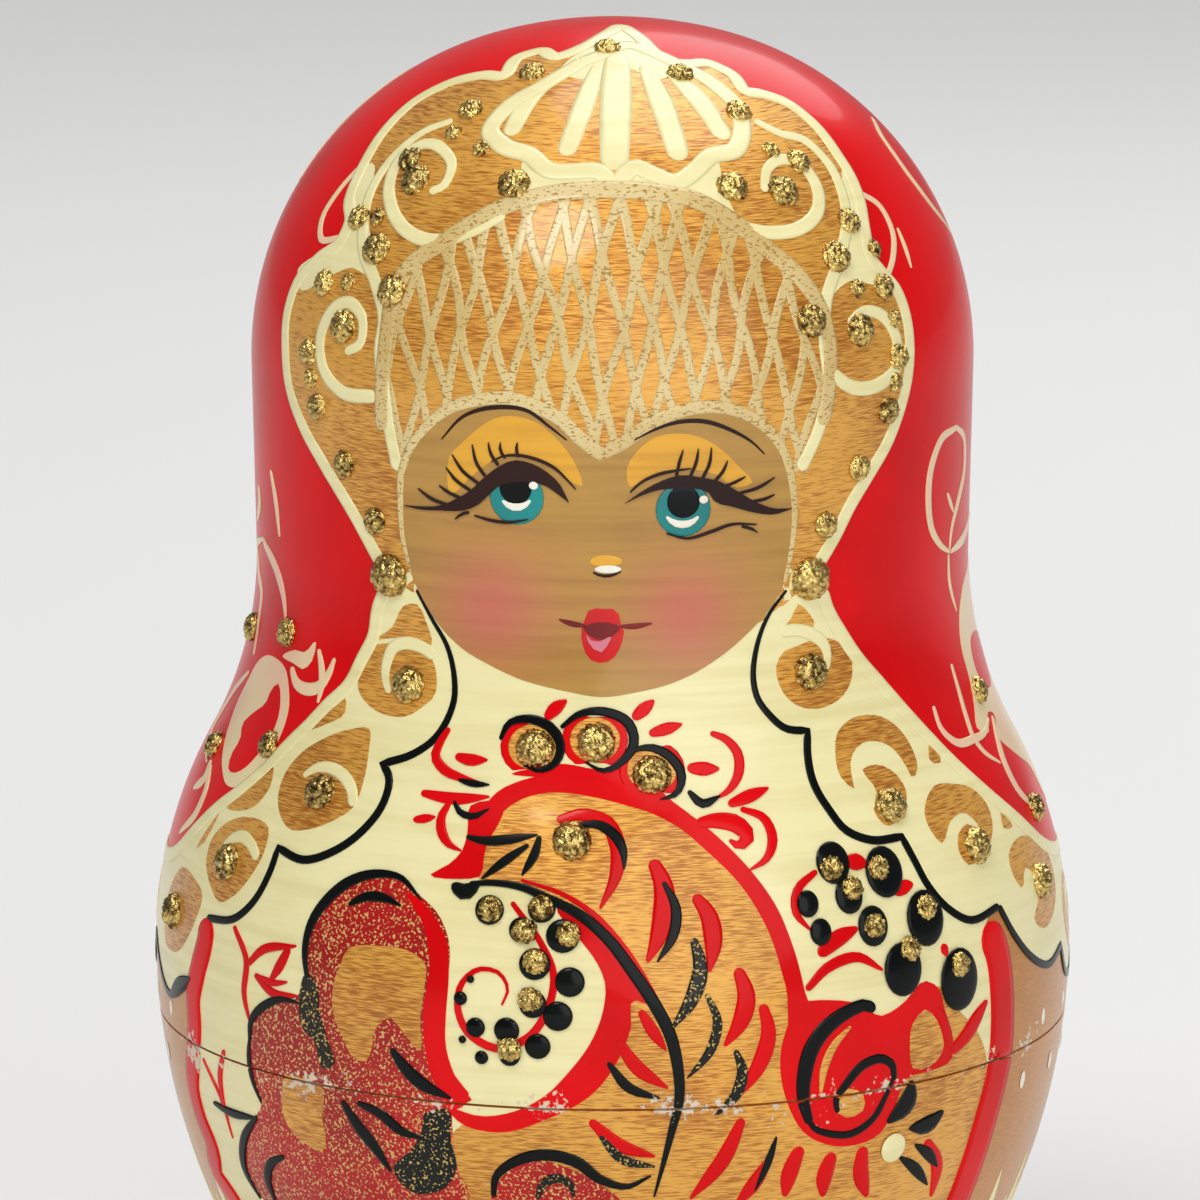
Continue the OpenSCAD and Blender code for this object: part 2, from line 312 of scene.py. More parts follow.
@dataclass
class TurnedProfile:
    """Outline that every doll is turned to, in millimetres of the largest."""

    doll_height: float = 150.0
    base_radius: float = 29.0
    base_bevel: float = 1.0
    body_radius: float = 46.0
    body_height: float = 56.5
    lower_curve: float = 64.0
    neck_radius: float = 35.6
    head_length: float = 53.0
    neck_share: float = 0.464
    head_radius: float = 36.0
    head_curve: float = 33.0
    crown_curve: float = 44.0
    wall: float = 5.0
    floor_thickness: float = 6.5
    floor_bevel: float = 1.5
    seam_height: float = 50.5
    seam_bevel: float = 0.3
    rim_wall: float = 3.7
    spigot_wall: float = 3.0
    spigot_rise: float = 10.0
    spigot_bevel: float = 0.6
    socket_relief: float = 0.8
    fit_clearance: float = 0.05
    nest_ratio: float = 0.8
    TABLE_STEP, TABLE_ROWS = 0.2, 1600

    def __post_init__(self) -> None:
        """Works out where the curves meet, and tables of the surface from crown to foot."""
        waist = self.body_radius - self.neck_radius
        neck_height = self.doll_height - self.head_length
        drop = neck_height - self.body_height
        span = (drop * drop + waist * waist) / (2 * waist)
        neck_curve = self.neck_share * span
        shoulder = span - neck_curve
        shoulder_turn = math.atan2(drop, span - waist)
        offset = self.head_radius - self.head_curve
        crown_centre = self.doll_height - self.crown_curve
        head_height = crown_centre + math.sqrt((self.crown_curve - self.head_curve) ** 2 - offset ** 2)
        crown_turn = math.atan2(head_height - crown_centre, offset)
        run = self.base_radius - self.body_radius + self.lower_curve
        foot_drop = self.body_height - self.base_bevel
        self.foot_lean = math.atan2(foot_drop, run) - math.acos(self.lower_curve / math.hypot(run, foot_drop))
        self.arcs = (
            ((self.body_radius - self.lower_curve, self.body_height), self.lower_curve, -1,
             -self.foot_lean, 0.0),
            ((self.body_radius - shoulder, self.body_height), shoulder, -1, 0.0, shoulder_turn),
            ((self.neck_radius + neck_curve, neck_height), neck_curve, 1, math.pi + shoulder_turn, math.pi),
            ((offset, head_height), self.head_curve, -1, 0.0, crown_turn),
            ((0.0, crown_centre), self.crown_curve, -1, crown_turn, math.pi / 2))
        table = self.outline(0.0, 0.0, self.base_bevel, self.TABLE_STEP)[1:][::-1]
        along = np.concatenate([[0.0], np.cumsum(np.hypot(*np.diff(table, axis=0).T))])
        self.along = np.linspace(0.0, along[-1], self.TABLE_ROWS)
        self.radii = np.interp(self.along, along, table[:, 0])
        self.heights = np.interp(self.along, along, table[:, 1])
        lean = np.stack([-np.gradient(self.heights), np.gradient(self.radii)], 1)
        self.leans = lean / np.linalg.norm(lean, axis=1, keepdims=True)
        self.seam = float(self.along_at(self.seam_height))

    def outline(self, inset: float, foot: float, bevel: float, step: float) -> np.ndarray:
        """Points of the outline, from the axis at the foot to the axis at the crown.

        Args:
            inset: How far inside the surface it runs.
            foot: Height at which it is cut level.
            bevel: Bevel at that cut.
            step: Distance between points on the curves.

        Returns:
            Radii and heights.
        """
        at = (self.base_radius + (foot + bevel - self.base_bevel) * math.tan(self.foot_lean)
              - inset / math.cos(self.foot_lean))
        points = [(0.0, foot), (at - bevel, foot), (at, foot + bevel)]
        for centre, radius, side, begin, end in self.arcs:
            size = radius + side * inset
            for turn in np.linspace(begin, end, max(int(abs(end - begin) * size / step), 2) + 1):
                point = (centre[0] + size * math.cos(turn), centre[1] + size * math.sin(turn))
                if math.dist(point, points[-1]) > 1e-6:
                    points.append(point)
        points[-1] = (0.0, points[-1][1])
        return np.array(points)

    def along_at(self, height: np.ndarray | float) -> np.ndarray:
        """Distance along the surface from the crown, at a height."""
        return np.interp(height, self.heights[::-1], self.along[::-1])

    def radius_at(self, height: np.ndarray | float) -> np.ndarray:
        """Radius of the surface at a height."""
        return np.interp(height, self.heights[::-1], self.radii[::-1])

    def stand(self, level: int) -> float:
        """Height at which the doll of a level stands."""
        return self.floor_thickness * (1 - self.nest_ratio ** level) / (1 - self.nest_ratio)

    def points(self, places: np.ndarray, lift: np.ndarray | float) -> tuple[np.ndarray, np.ndarray]:
        """Points over the surface of the largest doll.

        Args:
            places: Angle from the front and distance from the crown.
            lift: Height above the surface.

        Returns:
            Points and outward directions.
        """
        angle, along = places[:, 0], places[:, 1]
        out = np.interp(along, self.along, self.leans[:, 0])
        up = np.interp(along, self.along, self.leans[:, 1])
        radius = np.interp(along, self.along, self.radii) + lift * out
        height = np.interp(along, self.along, self.heights) + lift * up
        sine, cosine = np.sin(angle), np.cos(angle)
        return (np.stack([radius * sine, -radius * cosine, height], 1),
                np.stack([out * sine, -out * cosine, up], 1))


@dataclass
class PhotoCamera:
    """Camera that sees the doll as the photograph does, and maps its pixels to the surface."""

    profile: TurnedProfile
    distance_mm: float = 900.0
    elevation_deg: float = 13.74
    azimuth_deg: float = 2.4
    focal_px: float = 8885.8
    seam_px: tuple[float, float] = (612.5, 996.8)
    film_mm: float = 36.0
    CLIP_M = (0.05, 50.0)
    SEARCH_BEFORE, SEARCH_SPAN, SEARCH_STEPS = 2.4, 4.0, 900

    def __post_init__(self) -> None:
        """Works out where the camera stands and how it is turned."""
        up, side = math.radians(self.elevation_deg), math.radians(self.azimuth_deg)
        away = Vector((math.cos(up) * math.sin(side), -math.cos(up) * math.cos(side), math.sin(up)))
        self.eye = Vector((0.0, 0.0, self.profile.seam_height)) + self.distance_mm * away
        centre = IMAGE_SIDE_PX / 2
        tilt = math.atan2(self.seam_px[1] - centre, self.focal_px)
        yaw = math.atan2(self.seam_px[0] - centre, self.focal_px)
        self.turn = (away.to_track_quat("Z", "Y").to_matrix() @ Matrix.Rotation(yaw, 3, "Y")
                     @ Matrix.Rotation(tilt, 3, "X"))

    def place(self) -> Object:
        """Adds the camera to the scene and returns it."""
        data = bpy.data.cameras.new("photo_camera")
        data.sensor_width = self.film_mm
        data.lens = self.focal_px * self.film_mm / IMAGE_SIDE_PX
        data.clip_start, data.clip_end = self.CLIP_M
        made = linked("photo_camera", data)
        made.matrix_world = Matrix.Translation(self.eye * MM) @ self.turn.to_4x4()
        bpy.context.scene.camera = made
        return made

    def px(self, *flat: float) -> np.ndarray:
        """Finds the places on the doll that pixels show.

        Args:
            flat: Across and down of each pixel, one after the other.

        Returns:
            Angle from the front and distance from the crown, for each pixel. A pixel beside the doll gives
            the nearest place on its edge.
        """
        pixels = np.array(flat, float).reshape(-1, 2)
        centre = IMAGE_SIDE_PX / 2
        rays = np.stack([(pixels[:, 0] - centre) / self.focal_px, (centre - pixels[:, 1]) / self.focal_px,
                         -np.ones(len(pixels))], 1) @ np.array(self.turn).T
        eye = np.array(self.eye)
        near = np.full(len(pixels), self.distance_mm - self.SEARCH_BEFORE * self.profile.body_radius)
        steps = np.linspace(0.0, self.SEARCH_SPAN * self.profile.body_radius, self.SEARCH_STEPS)
        path = eye + rays[:, None, :] * (near[:, None] + steps)[..., None]
        gap = np.hypot(path[..., 0], path[..., 1]) - self.profile.radius_at(path[..., 2])
        inside = gap < 0
        hit = np.where(inside.any(1), inside.argmax(1), gap.argmin(1))
        row = np.arange(len(pixels))
        before = gap[row, np.maximum(hit - 1, 0)]
        share = np.where(inside.any(1), before / np.maximum(before - gap[row, hit], 1e-9), 1.0)
        found = path[row, np.maximum(hit - 1, 0)] + share[:, None] * (
            path[row, hit] - path[row, np.maximum(hit - 1, 0)])
        return np.stack([np.arctan2(found[:, 0], -found[:, 1]), self.profile.along_at(found[:, 2])], 1)

    def at(self, *flat: float) -> np.ndarray:
        """Finds places as px does, from degrees off the front and heights, one after the other."""
        pairs = np.array(flat, float).reshape(-1, 2)
        return np.stack([np.radians(pairs[:, 0]), self.profile.along_at(pairs[:, 1])], 1)


MEAN_RADIUS = 38.0


def smooth(points: np.ndarray, step: float, closed: bool = False) -> np.ndarray:
    """Draws a smooth curve through places on the surface, with a corner wherever a place is given twice.

    Args:
        points: Angles from the front and distances from the crown.
        step: Distance between the points of the curve.
        closed: Whether it returns to its start.

    Returns:
        Places along the curve.
    """
    flat = np.asarray(points, float) * (MEAN_RADIUS, 1.0)
    if closed:
        flat = np.vstack([flat, flat[:1]])
    corners = [i for i in range(1, len(flat)) if np.allclose(flat[i], flat[i - 1])]
    runs = [run for run in np.split(flat, corners) if len(run) > 1]
    drawn = []
    for run in runs:
        lengths = np.maximum(np.hypot(*np.diff(run, axis=0).T), 1e-6)
        knots = np.concatenate([[0.0], np.cumsum(lengths)])
        pace = np.diff(run, axis=0) / lengths[:, None]
        inner = pace[:-1] * lengths[1:, None] + pace[1:] * lengths[:-1, None]
        slopes = np.vstack([pace[:1], inner, pace[-1:]])
        slopes[1:-1] /= (lengths[1:] + lengths[:-1])[:, None]
        if closed and not corners:
            slopes[0] = slopes[-1] = (pace[0] + pace[-1]) / 2
        at = np.linspace(0.0, knots[-1], max(int(math.ceil(knots[-1] / step)), 2) + 1)
        k = np.clip(np.searchsorted(knots, at, side="right") - 1, 0, len(lengths) - 1)
        x = ((at - knots[k]) / lengths[k])[:, None]
        size = lengths[k][:, None]
        drawn.append((1 + 2 * x) * (1 - x) ** 2 * run[k] + x * (1 - x) ** 2 * size * slopes[k]
                     + x * x * (3 - 2 * x) * run[k + 1] + x * x * (x - 1) * size * slopes[k + 1])
    curve = np.vstack(drawn)
    if closed and np.allclose(curve[0], curve[-1]):
        curve = curve[:-1]
    return curve / (MEAN_RADIUS, 1.0)


def within(points: np.ndarray, outline: np.ndarray) -> np.ndarray:
    """Tells which points lie inside a closed outline.

    Args:
        points: Points in a plane.
        outline: Corners of the outline.

    Returns:
        True for each point inside.
    """
    inside = np.zeros(len(points), bool)
    following = np.roll(outline, -1, axis=0)
    for (x0, y0), (x1, y1) in zip(outline, following):
        if y0 == y1:
            continue
        crosses = (points[:, 1] < y0) != (points[:, 1] < y1)
        inside ^= crosses & (points[:, 0] < x0 + (points[:, 1] - y0) * (x1 - x0) / (y1 - y0))
    return inside


@dataclass
class Patch:
    """Flat film of paint inside an outline."""

    paint: Paint
    layer: int
    outline: np.ndarray


@dataclass
class Stroke:
    """Single stroke of a brush along a path."""

    paint: Paint
    layer: int
    width: float
    path: np.ndarray
    ends: tuple[float, float]
    fine: bool


@dataclass
class Drop:
    """Round drop of paint or paste."""

    paint: Paint
    layer: int
    place: np.ndarray
    size: tuple[float, float, float]


@dataclass
class Pattern:
    """Paint of one theme, as patches, strokes and drops on the surface of the largest doll."""

    theme: str
    patches: list[Patch] = field(default_factory=list)
    strokes: list[Stroke] = field(default_factory=list)
    drops: list[Drop] = field(default_factory=list)

    def fill(self, paint: Paint, layer: int, outline: np.ndarray) -> None:
        """Adds a patch inside an outline, at its place in the order of painting."""
        self.patches.append(Patch(paint, layer, outline))

    def line(self, paint: Paint, layer: int, width: float, path: np.ndarray,
             ends: tuple[float, float], fine: bool = False) -> None:
        """Adds a stroke.

        Args:
            paint: What it is painted with.
            layer: Its place in the order of painting.
            width: Width at its middle.
            path: Places that it passes.
            ends: Width at its start and end, as shares of the middle.
            fine: Whether only the largest doll has it.
        """
        self.strokes.append(Stroke(paint, layer, width, path, ends, fine))

    def dot(self, paint: Paint, layer: int, places: np.ndarray, size: tuple[float, float, float]) -> None:
        """Adds drops at some places, all of one width, length up the doll, and rise."""
        self.drops += [Drop(paint, layer, place, size) for place in places]


class BrushTrees:
    """Geometry node trees that lay strokes along paths and set drops on points."""

    section: Object | None = None
    ACROSS = (-1.0, -1.0, -0.62, 0.0, 0.62, 1.0, 1.0)
    CREST = (0.0, 1.0, 1.0, 1.0, 1.0, 1.0, 0.0)
    STROKE_DOME, DROP_DOME, DROP_FOOT = 0.03, 2.0, 0.1
    CREASES_PER_M, CREASE_DETAIL, CREASE_SEED = 2400.0, 2.0, 3.0

    @staticmethod
    def attribute(wiring: Wiring, name: str, kind: str = "FLOAT") -> NodeSocket:
        """Adds a node that reads a named attribute and returns its value."""
        return wiring.node("GeometryNodeInputNamedAttribute", {"Name": name}, data_type=kind).outputs[0]

    @staticmethod
    def begin(name: str, inputs: tuple[tuple[str, str], ...]) -> Wiring:
        """Starts a tree.

        Args:
            name: Name of the tree.
            inputs: Name and socket type of each input after the geometry.

        Returns:
            Wiring of the new tree, with its group input and output added.
        """
        tree = bpy.data.node_groups.new(name, "GeometryNodeTree")
        tree.interface.new_socket("Geometry", in_out="INPUT", socket_type="NodeSocketGeometry")
        for label, kind in inputs:
            tree.interface.new_socket(label, in_out="INPUT", socket_type=kind)
        tree.interface.new_socket("Geometry", in_out="OUTPUT", socket_type="NodeSocketGeometry")
        return Wiring(tree)

    @classmethod
    def end(cls, wiring: Wiring, shape: NodeSocket, paint: NodeSocket) -> NodeTree:
        """Closes a tree with smooth shading, realized instances and its material.

        Args:
            wiring: The tree.
            shape: Geometry to hand out.
            paint: Socket of the material.

        Returns:
            The finished tree.
        """
        soft = wiring.node("GeometryNodeSetShadeSmooth", {"Geometry": shape, "Shade Smooth": True}).outputs[0]
        whole = wiring.node("GeometryNodeRealizeInstances", {"Geometry": soft}).outputs[0]
        dressed = wiring.node("GeometryNodeSetMaterial", {"Geometry": whole, "Material": paint}).outputs[0]
        wiring.node("NodeGroupOutput", {"Geometry": dressed})
        return wiring.tree

    @classmethod
    @cache
    def stroke(cls) -> NodeTree:
        """Returns the tree that sweeps a brush's section along painted paths."""
        wiring = cls.begin("brush_stroke", (("Section", "NodeSocketObject"), ("Paint", "NodeSocketMaterial"),
                                            ("Sink", "NodeSocketFloat")))
        given = wiring.node("NodeGroupInput").outputs
        rail = wiring.node("GeometryNodeMeshToCurve", {"Mesh": given["Geometry"]}).outputs[0]
        held = wiring.node("GeometryNodeObjectInfo", {"Object": given["Section"]}).outputs["Geometry"]
        section = wiring.node("GeometryNodeMeshToCurve", {"Mesh": held}).outputs[0]
        swept = wiring.node("GeometryNodeCurveToMesh", {
            "Curve": rail, "Profile Curve": section, "Scale": 1e-6, "Fill Caps": True}).outputs[0]
        across, crest = cls.attribute(wiring, "across"), cls.attribute(wiring, "crest")
        half = cls.attribute(wiring, "half_width")
        side = cls.attribute(wiring, "side", "FLOAT_VECTOR")
        normal = cls.attribute(wiring, "surface_normal", "FLOAT_VECTOR")
        bulge = wiring.math("SUBTRACT", 1.0, wiring.math("MULTIPLY", across, across))
        dome = wiring.math("MULTIPLY", wiring.math("MULTIPLY", bulge, half), cls.STROKE_DOME)
        top = wiring.math("ADD", cls.attribute(wiring, "lift"), dome)
        low = wiring.math("MULTIPLY", wiring.math("SUBTRACT", 1.0, crest), given["Sink"])
        rise = wiring.math("SUBTRACT", wiring.math("MULTIPLY", crest, top), low)
        spread = wiring.scaled(side, wiring.math("MULTIPLY", across, half))
        offset = wiring.vector("ADD", spread, wiring.scaled(normal, rise))
        shaped = wiring.node("GeometryNodeSetPosition", {"Geometry": swept, "Offset": offset}).outputs[0]
        return cls.end(wiring, shaped, given["Paint"])

    @classmethod
    @cache
    def drop(cls) -> NodeTree:
        """Returns the tree that sets flattened drops on points, and crinkles them like leaf."""
        wiring = cls.begin("domed_drops", (("Paint", "NodeSocketMaterial"), ("Facets", "NodeSocketInt"),
                                           ("Crinkle", "NodeSocketFloat"), ("Seed", "NodeSocketFloat")))
        given = wiring.node("NodeGroupInput").outputs
        ball = wiring.node("GeometryNodeMeshIcoSphere", {
            "Radius": 0.5, "Subdivisions": given["Facets"]}).outputs[0]
        spot = wiring.node("GeometryNodeInputPosition").outputs[0]
        parts = wiring.node("ShaderNodeSeparateXYZ", {0: spot}).outputs
        raised = wiring.math("MAXIMUM", wiring.math("MULTIPLY", parts[2], cls.DROP_DOME),
                             wiring.math("MULTIPLY", parts[2], cls.DROP_FOOT))
        dome = wiring.node("ShaderNodeCombineXYZ", {0: parts[0], 1: parts[1], 2: raised}).outputs[0]
        domed = wiring.node("GeometryNodeSetPosition", {"Geometry": ball, "Position": dome}).outputs[0]
        turn = wiring.node("FunctionNodeAxesToRotation", {
            0: cls.attribute(wiring, "surface_normal", "FLOAT_VECTOR"),
            1: cls.attribute(wiring, "side", "FLOAT_VECTOR")},
            primary_axis="Z", secondary_axis="X").outputs[0]
        set_ = wiring.node("GeometryNodeInstanceOnPoints", {
            "Points": given["Geometry"], "Instance": domed, "Rotation": turn,
            "Scale": cls.attribute(wiring, "size", "FLOAT_VECTOR")}).outputs[0]
        whole = wiring.node("GeometryNodeRealizeInstances", {"Geometry": set_}).outputs[0]
        creases = wiring.node("ShaderNodeTexNoise", {
            "Vector": wiring.node("GeometryNodeInputPosition").outputs[0], "W": given["Seed"],
            "Scale": cls.CREASES_PER_M, "Detail": cls.CREASE_DETAIL}, noise_dimensions="4D").outputs[0]
        push = wiring.math("MULTIPLY", wiring.math("SUBTRACT", creases, 0.5), given["Crinkle"])
        offset = wiring.scaled(wiring.node("GeometryNodeInputNormal").outputs[0], push)
        crinkled = wiring.node("GeometryNodeSetPosition", {"Geometry": whole, "Offset": offset}).outputs[0]
        return cls.end(wiring, crinkled, given["Paint"])

    @classmethod
    def brush(cls) -> Object:
        """Returns the section of a brush stroke, flat until the tree gives it its width and rise."""
        if cls.section is None:
            count = len(cls.ACROSS)
            angles = np.linspace(0.0, 2 * math.pi, count, endpoint=False)
            mesh = bpy.data.meshes.new("brush_section")
            mesh.from_pydata([(-math.cos(a), math.sin(a), 0.0) for a in angles],
                             [(i, (i + 1) % count) for i in range(count)], [])
            for name, values in (("across", cls.ACROSS), ("crest", cls.CREST)):
                store(mesh, name, values)
            cls.section = linked("brush_section", mesh)
        return cls.section

    @classmethod
    def clear(cls) -> None:
        """Removes the brush section once everything is painted."""
        if cls.section is not None:
            bpy.data.objects.remove(cls.section)
            cls.section = None

    @staticmethod
    def grow(mesh: Mesh, tree: NodeTree, values: dict[str, object]) -> Object:
        """Runs a tree on a mesh and keeps the result as a plain mesh.

        Args:
            mesh: What the tree starts from.
            tree: The node tree.
            values: Its inputs, by name.

        Returns:
            A linked object with the result.
        """
        made = linked(mesh.name, mesh)
        modifier = made.modifiers.new(tree.name, "NODES")
        modifier.node_group = tree
        for item in tree.interface.items_tree:
            if item.item_type == "SOCKET" and item.in_out == "INPUT" and item.name in values:
                modifier[item.identifier] = values[item.name]
        bpy.context.view_layer.update()
        shape = bpy.data.meshes.new_from_object(made.evaluated_get(bpy.context.evaluated_depsgraph_get()))
        made.modifiers.remove(modifier)
        made.data = shape
        bpy.data.meshes.remove(mesh)
        return made


@dataclass
class NestedDoll:
    """One doll of the nest: its turned halves and the paint on them."""

    profile: TurnedProfile
    level: int
    parts: bool = True
    layer_lift: float = 0.03
    film_sink: float = 0.04
    seam_gap: float = 0.12
    rim_play: float = 0.02
    TIP_STEPS = np.array((0.0, 0.08, 0.3, 0.65, 1.0))
    LEAST_TIP, POINT_GAP, BORE_GAP, OUTLINE_SHARE = 0.08, 0.2, 0.05, 0.7
    SHELL_SHARP_DEG, FILM_SHARP_DEG = 28, 40
    FINE, PLAIN = (240, 0.7, 1.3, 1.0, 3), (112, 1.6, 2.6, 2.0, 2)

    def __post_init__(self) -> None:
        """Works out the doll's size, and how finely it is made."""
        self.scale = self.profile.nest_ratio ** self.level
        self.stand = self.profile.stand(self.level)
        self.largest = self.level == 0
        fineness = self.FINE if self.largest else self.PLAIN
        self.segments, self.path_step, self.film_step, self.turn_step, self.facets = fineness

    def name(self, half: Half) -> str:
        """Name of a half's node, which is also its body."""
        return f"{LEVELS[self.level]}_doll_{half.value}" if self.parts else "seventh_doll"

    def placed(self, points: np.ndarray) -> np.ndarray:
        """Moves points of the largest doll to this one, in metres."""
        return (points * self.scale + (0.0, 0.0, self.stand)) * MM

    def half_outline(self, half: Half) -> tuple[np.ndarray, np.ndarray]:
        """Closed section of a half.

        Args:
            half: Which half.

        Returns:
            Radii and heights from the axis round to the axis again, and which points are painted.
        """
        p = self.profile
        outside = p.outline(0.0, 0.0, p.base_bevel, self.turn_step)
        inside = p.outline(p.wall, p.floor_thickness, p.floor_bevel, 2 * self.turn_step)
        if not self.parts:
            return outside, np.arange(len(outside)) > 1
        rim = float(p.radius_at(p.seam_height)) - p.seam_bevel
        socket = float(p.radius_at(p.seam_height)) - p.rim_wall
        if half is Half.TOP:
            low = p.seam_height + p.seam_bevel
            mouth = p.seam_height + self.rim_play
            outer = np.vstack([[(rim, mouth), (p.radius_at(low), low)],
                               outside[outside[:, 1] > low + self.POINT_GAP]])
            relief = p.seam_height + p.spigot_rise + p.socket_relief
            step_in = np.interp(relief, inside[1:, 1], inside[1:, 0])
            inner = np.vstack([inside[inside[:, 1] > relief + self.POINT_GAP][::-1],
                               [(step_in, relief), (socket, relief), (socket, mouth)]])
            loop = np.vstack([outer, inner, outer[:1]])
            return loop, np.arange(len(loop)) < len(outer)
        high = p.seam_height - p.seam_bevel
        spigot = socket - p.fit_clearance / self.scale
        bore = spigot - p.spigot_wall
        top = p.seam_height + p.spigot_rise
        outer = np.vstack([outside[outside[:, 1] < high - self.POINT_GAP],
                           [(p.radius_at(high), high), (rim, p.seam_height)]])
        neck = [(spigot, p.seam_height), (spigot, top - p.spigot_bevel), (spigot - p.spigot_bevel, top),
                (bore, top)]
        cup = inside[(inside[:, 1] < p.seam_height) & (inside[:, 0] < bore - self.BORE_GAP)][::-1]
        loop = np.vstack([outer, neck, cup])
        painted = (np.arange(len(loop)) < len(outer)) & (np.arange(len(loop)) > 1)
        return loop, painted

    def turn_half(self, half: Half) -> Object:
        """Turns the mesh of a half, painted outside and bare within.

        Args:
            half: Which half.

        Returns:
            The finished piece.
        """
        loop, painted = self.half_outline(half)
        angles = np.linspace(0.0, 2 * math.pi, self.segments, endpoint=False)
        points: list[np.ndarray] = []
        rows: list[np.ndarray] = []
        count = 0
        for radius, height in loop:
            on_axis = radius < 1e-6
            turn = angles[:1] if on_axis else angles
            level = np.full(len(turn), height)
            points.append(np.stack([radius * np.sin(turn), -radius * np.cos(turn), level], 1))
            rows.append(np.full(self.segments, count) if on_axis else np.arange(count, count + self.segments))
            count += len(turn)
        if np.allclose(loop[0], loop[-1]):
            points.pop()
            rows[-1] = rows[0]
        faces: list[tuple[int, ...]] = []
        bare: list[int] = []
        for i in range(len(loop) - 1):
            low, high = rows[i], rows[i + 1]
            for a, b, c, d in zip(low, np.roll(low, -1), np.roll(high, -1), high):
                face = tuple(dict.fromkeys((int(a), int(b), int(c), int(d))))
                if len(face) > 2:
                    faces.append(face)
                    bare.append(0 if painted[i] and painted[i + 1] else 1)
        spots = np.vstack(points)
        mesh = bpy.data.meshes.new(f"{self.name(half)}_shell")
        mesh.from_pydata(self.placed(spots), [], faces)
        mesh.polygons.foreach_set("material_index", bare)
        store(mesh, "seam_gap", np.abs(spots[:, 2] - self.profile.seam_height))
        outside = Paint.SCARLET if half is Half.TOP else Paint.OCHRE
        for paint in (outside, Paint.WOOD):
            mesh.materials.append(material_of(paint))
        mesh.shade_smooth()
        sharpen(mesh, math.radians(self.SHELL_SHARP_DEG))
        return self.seat(linked(mesh.name, mesh), half, self.name(half))

    def seat(self, piece: Object, half: Half, *nodes: str) -> Object:
        """Makes a piece ride on a half's body.

        Args:
            piece: The piece.
            half: The half that carries it.
            nodes: CAD nodes that it stands for.

        Returns:
            The same piece.
        """
        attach(piece, self.name(half))
        if nodes:
            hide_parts(*nodes)
        LOG.info("%s: %d faces", piece.name, len(piece.data.polygons))
        return piece

    def halves(self) -> tuple[Half, ...]:
        """The halves that the doll is turned in."""
        return (Half.TOP, Half.BASE) if self.parts else (Half.TOP,)

    def reach(self, half: Half) -> tuple[float, float]:
        """Range of distances from the crown that a half covers."""
        if not self.parts:
            return -1.0, 1e3
        seam = self.profile.seam
        return (-1.0, seam - self.seam_gap) if half is Half.TOP else (seam + self.seam_gap, 1e3)

    def paint(self, pattern: Pattern) -> list[Object]:
        """Paints one theme on both halves.

        Args:
            pattern: The theme.

        Returns:
            The finished pieces.
        """
        made = []
        for half in self.halves():
            shapes = self.films(pattern, half) + self.brushed(pattern, half) + self.dropped(pattern, half)
            if shapes:
                piece = joined(shapes, f"{self.name(half)}_{pattern.theme}")
                self.trim(piece.data, half)
                made.append(self.seat(piece, half))
        return made

    def trim(self, mesh: Mesh, half: Half) -> None:
        """Cuts paint back to its own side of the seam.

        Args:
            mesh: The paint of one theme on one half.
            half: Which half.
        """
        if not self.parts:
            return
        side = 1.0 if half is Half.TOP else -1.0
        edge = self.placed(np.array((0.0, 0.0, self.profile.seam_height + side * self.seam_gap / 2)))[2]
        spots = np.empty(3 * len(mesh.vertices), np.float32)
        mesh.vertices.foreach_get("co", spots)
        spots[2::3] = side * np.maximum(side * spots[2::3], side * edge)
        mesh.vertices.foreach_set("co", spots)
        mesh.update()

    def films(self, pattern: Pattern, half: Half) -> list[Object]:
        """Lays the patches of a theme on one half.

        Args:
            pattern: The theme.
            half: Which half.

        Returns:
            One object for each patch there.
        """
        made = []
        low, high = self.reach(half)
        for patch in pattern.patches:
            outline = smooth(patch.outline, self.OUTLINE_SHARE * self.film_step, True) * (MEAN_RADIUS, 1.0)
            if outline[:, 1].min() > high or outline[:, 1].max() < low:
                continue
            corners, faces = film_mesh(outline, self.film_step, low, high)
            if len(faces):
                made.append(self.film(patch, corners / (MEAN_RADIUS, 1.0), faces))
        return made

    def film(self, patch: Patch, places: np.ndarray, faces: np.ndarray) -> Object:
        """Builds a closed film of paint.

        Args:
            patch: The patch that it belongs to.
            places: Its points on the surface.
            faces: Its triangles.

        Returns:
            The film's object.
        """
        count = len(places)
        top, _ = self.profile.points(places, self.layer_lift * (1 + patch.layer))
        low, _ = self.profile.points(places, -self.film_sink)
        edges = np.concatenate([faces[:, [0, 1]], faces[:, [1, 2]], faces[:, [2, 0]]])
        known = {(int(a), int(b)) for a, b in edges}
        rim = [(a, b) for a, b in known if (b, a) not in known]
        walls = [(b, a, a + count, b + count) for a, b in rim]
        shapes = faces.tolist() + (faces[:, ::-1] + count).tolist() + walls
        mesh = bpy.data.meshes.new(f"{patch.paint.value}_film")
        mesh.from_pydata(self.placed(np.vstack([top, low])), [], shapes)
        self.mark(mesh, np.tile(places[:, 1], 2))
        if patch.paint is Paint.FACE:
            store(mesh, "blush", np.tile(Visage.blush(places), 2))
        mesh.materials.append(material_of(patch.paint))
        smooth_flags = np.ones(len(mesh.polygons), bool)
        smooth_flags[2 * len(faces):] = False
        mesh.polygons.foreach_set("use_smooth", smooth_flags)
        sharpen(mesh, math.radians(self.FILM_SHARP_DEG))
        return linked(mesh.name, mesh)

    def mark(self, mesh: Mesh, along: np.ndarray) -> None:
        """Stores how far each point lies from the seam."""
        store(mesh, "seam_gap", np.abs(along - self.profile.seam))

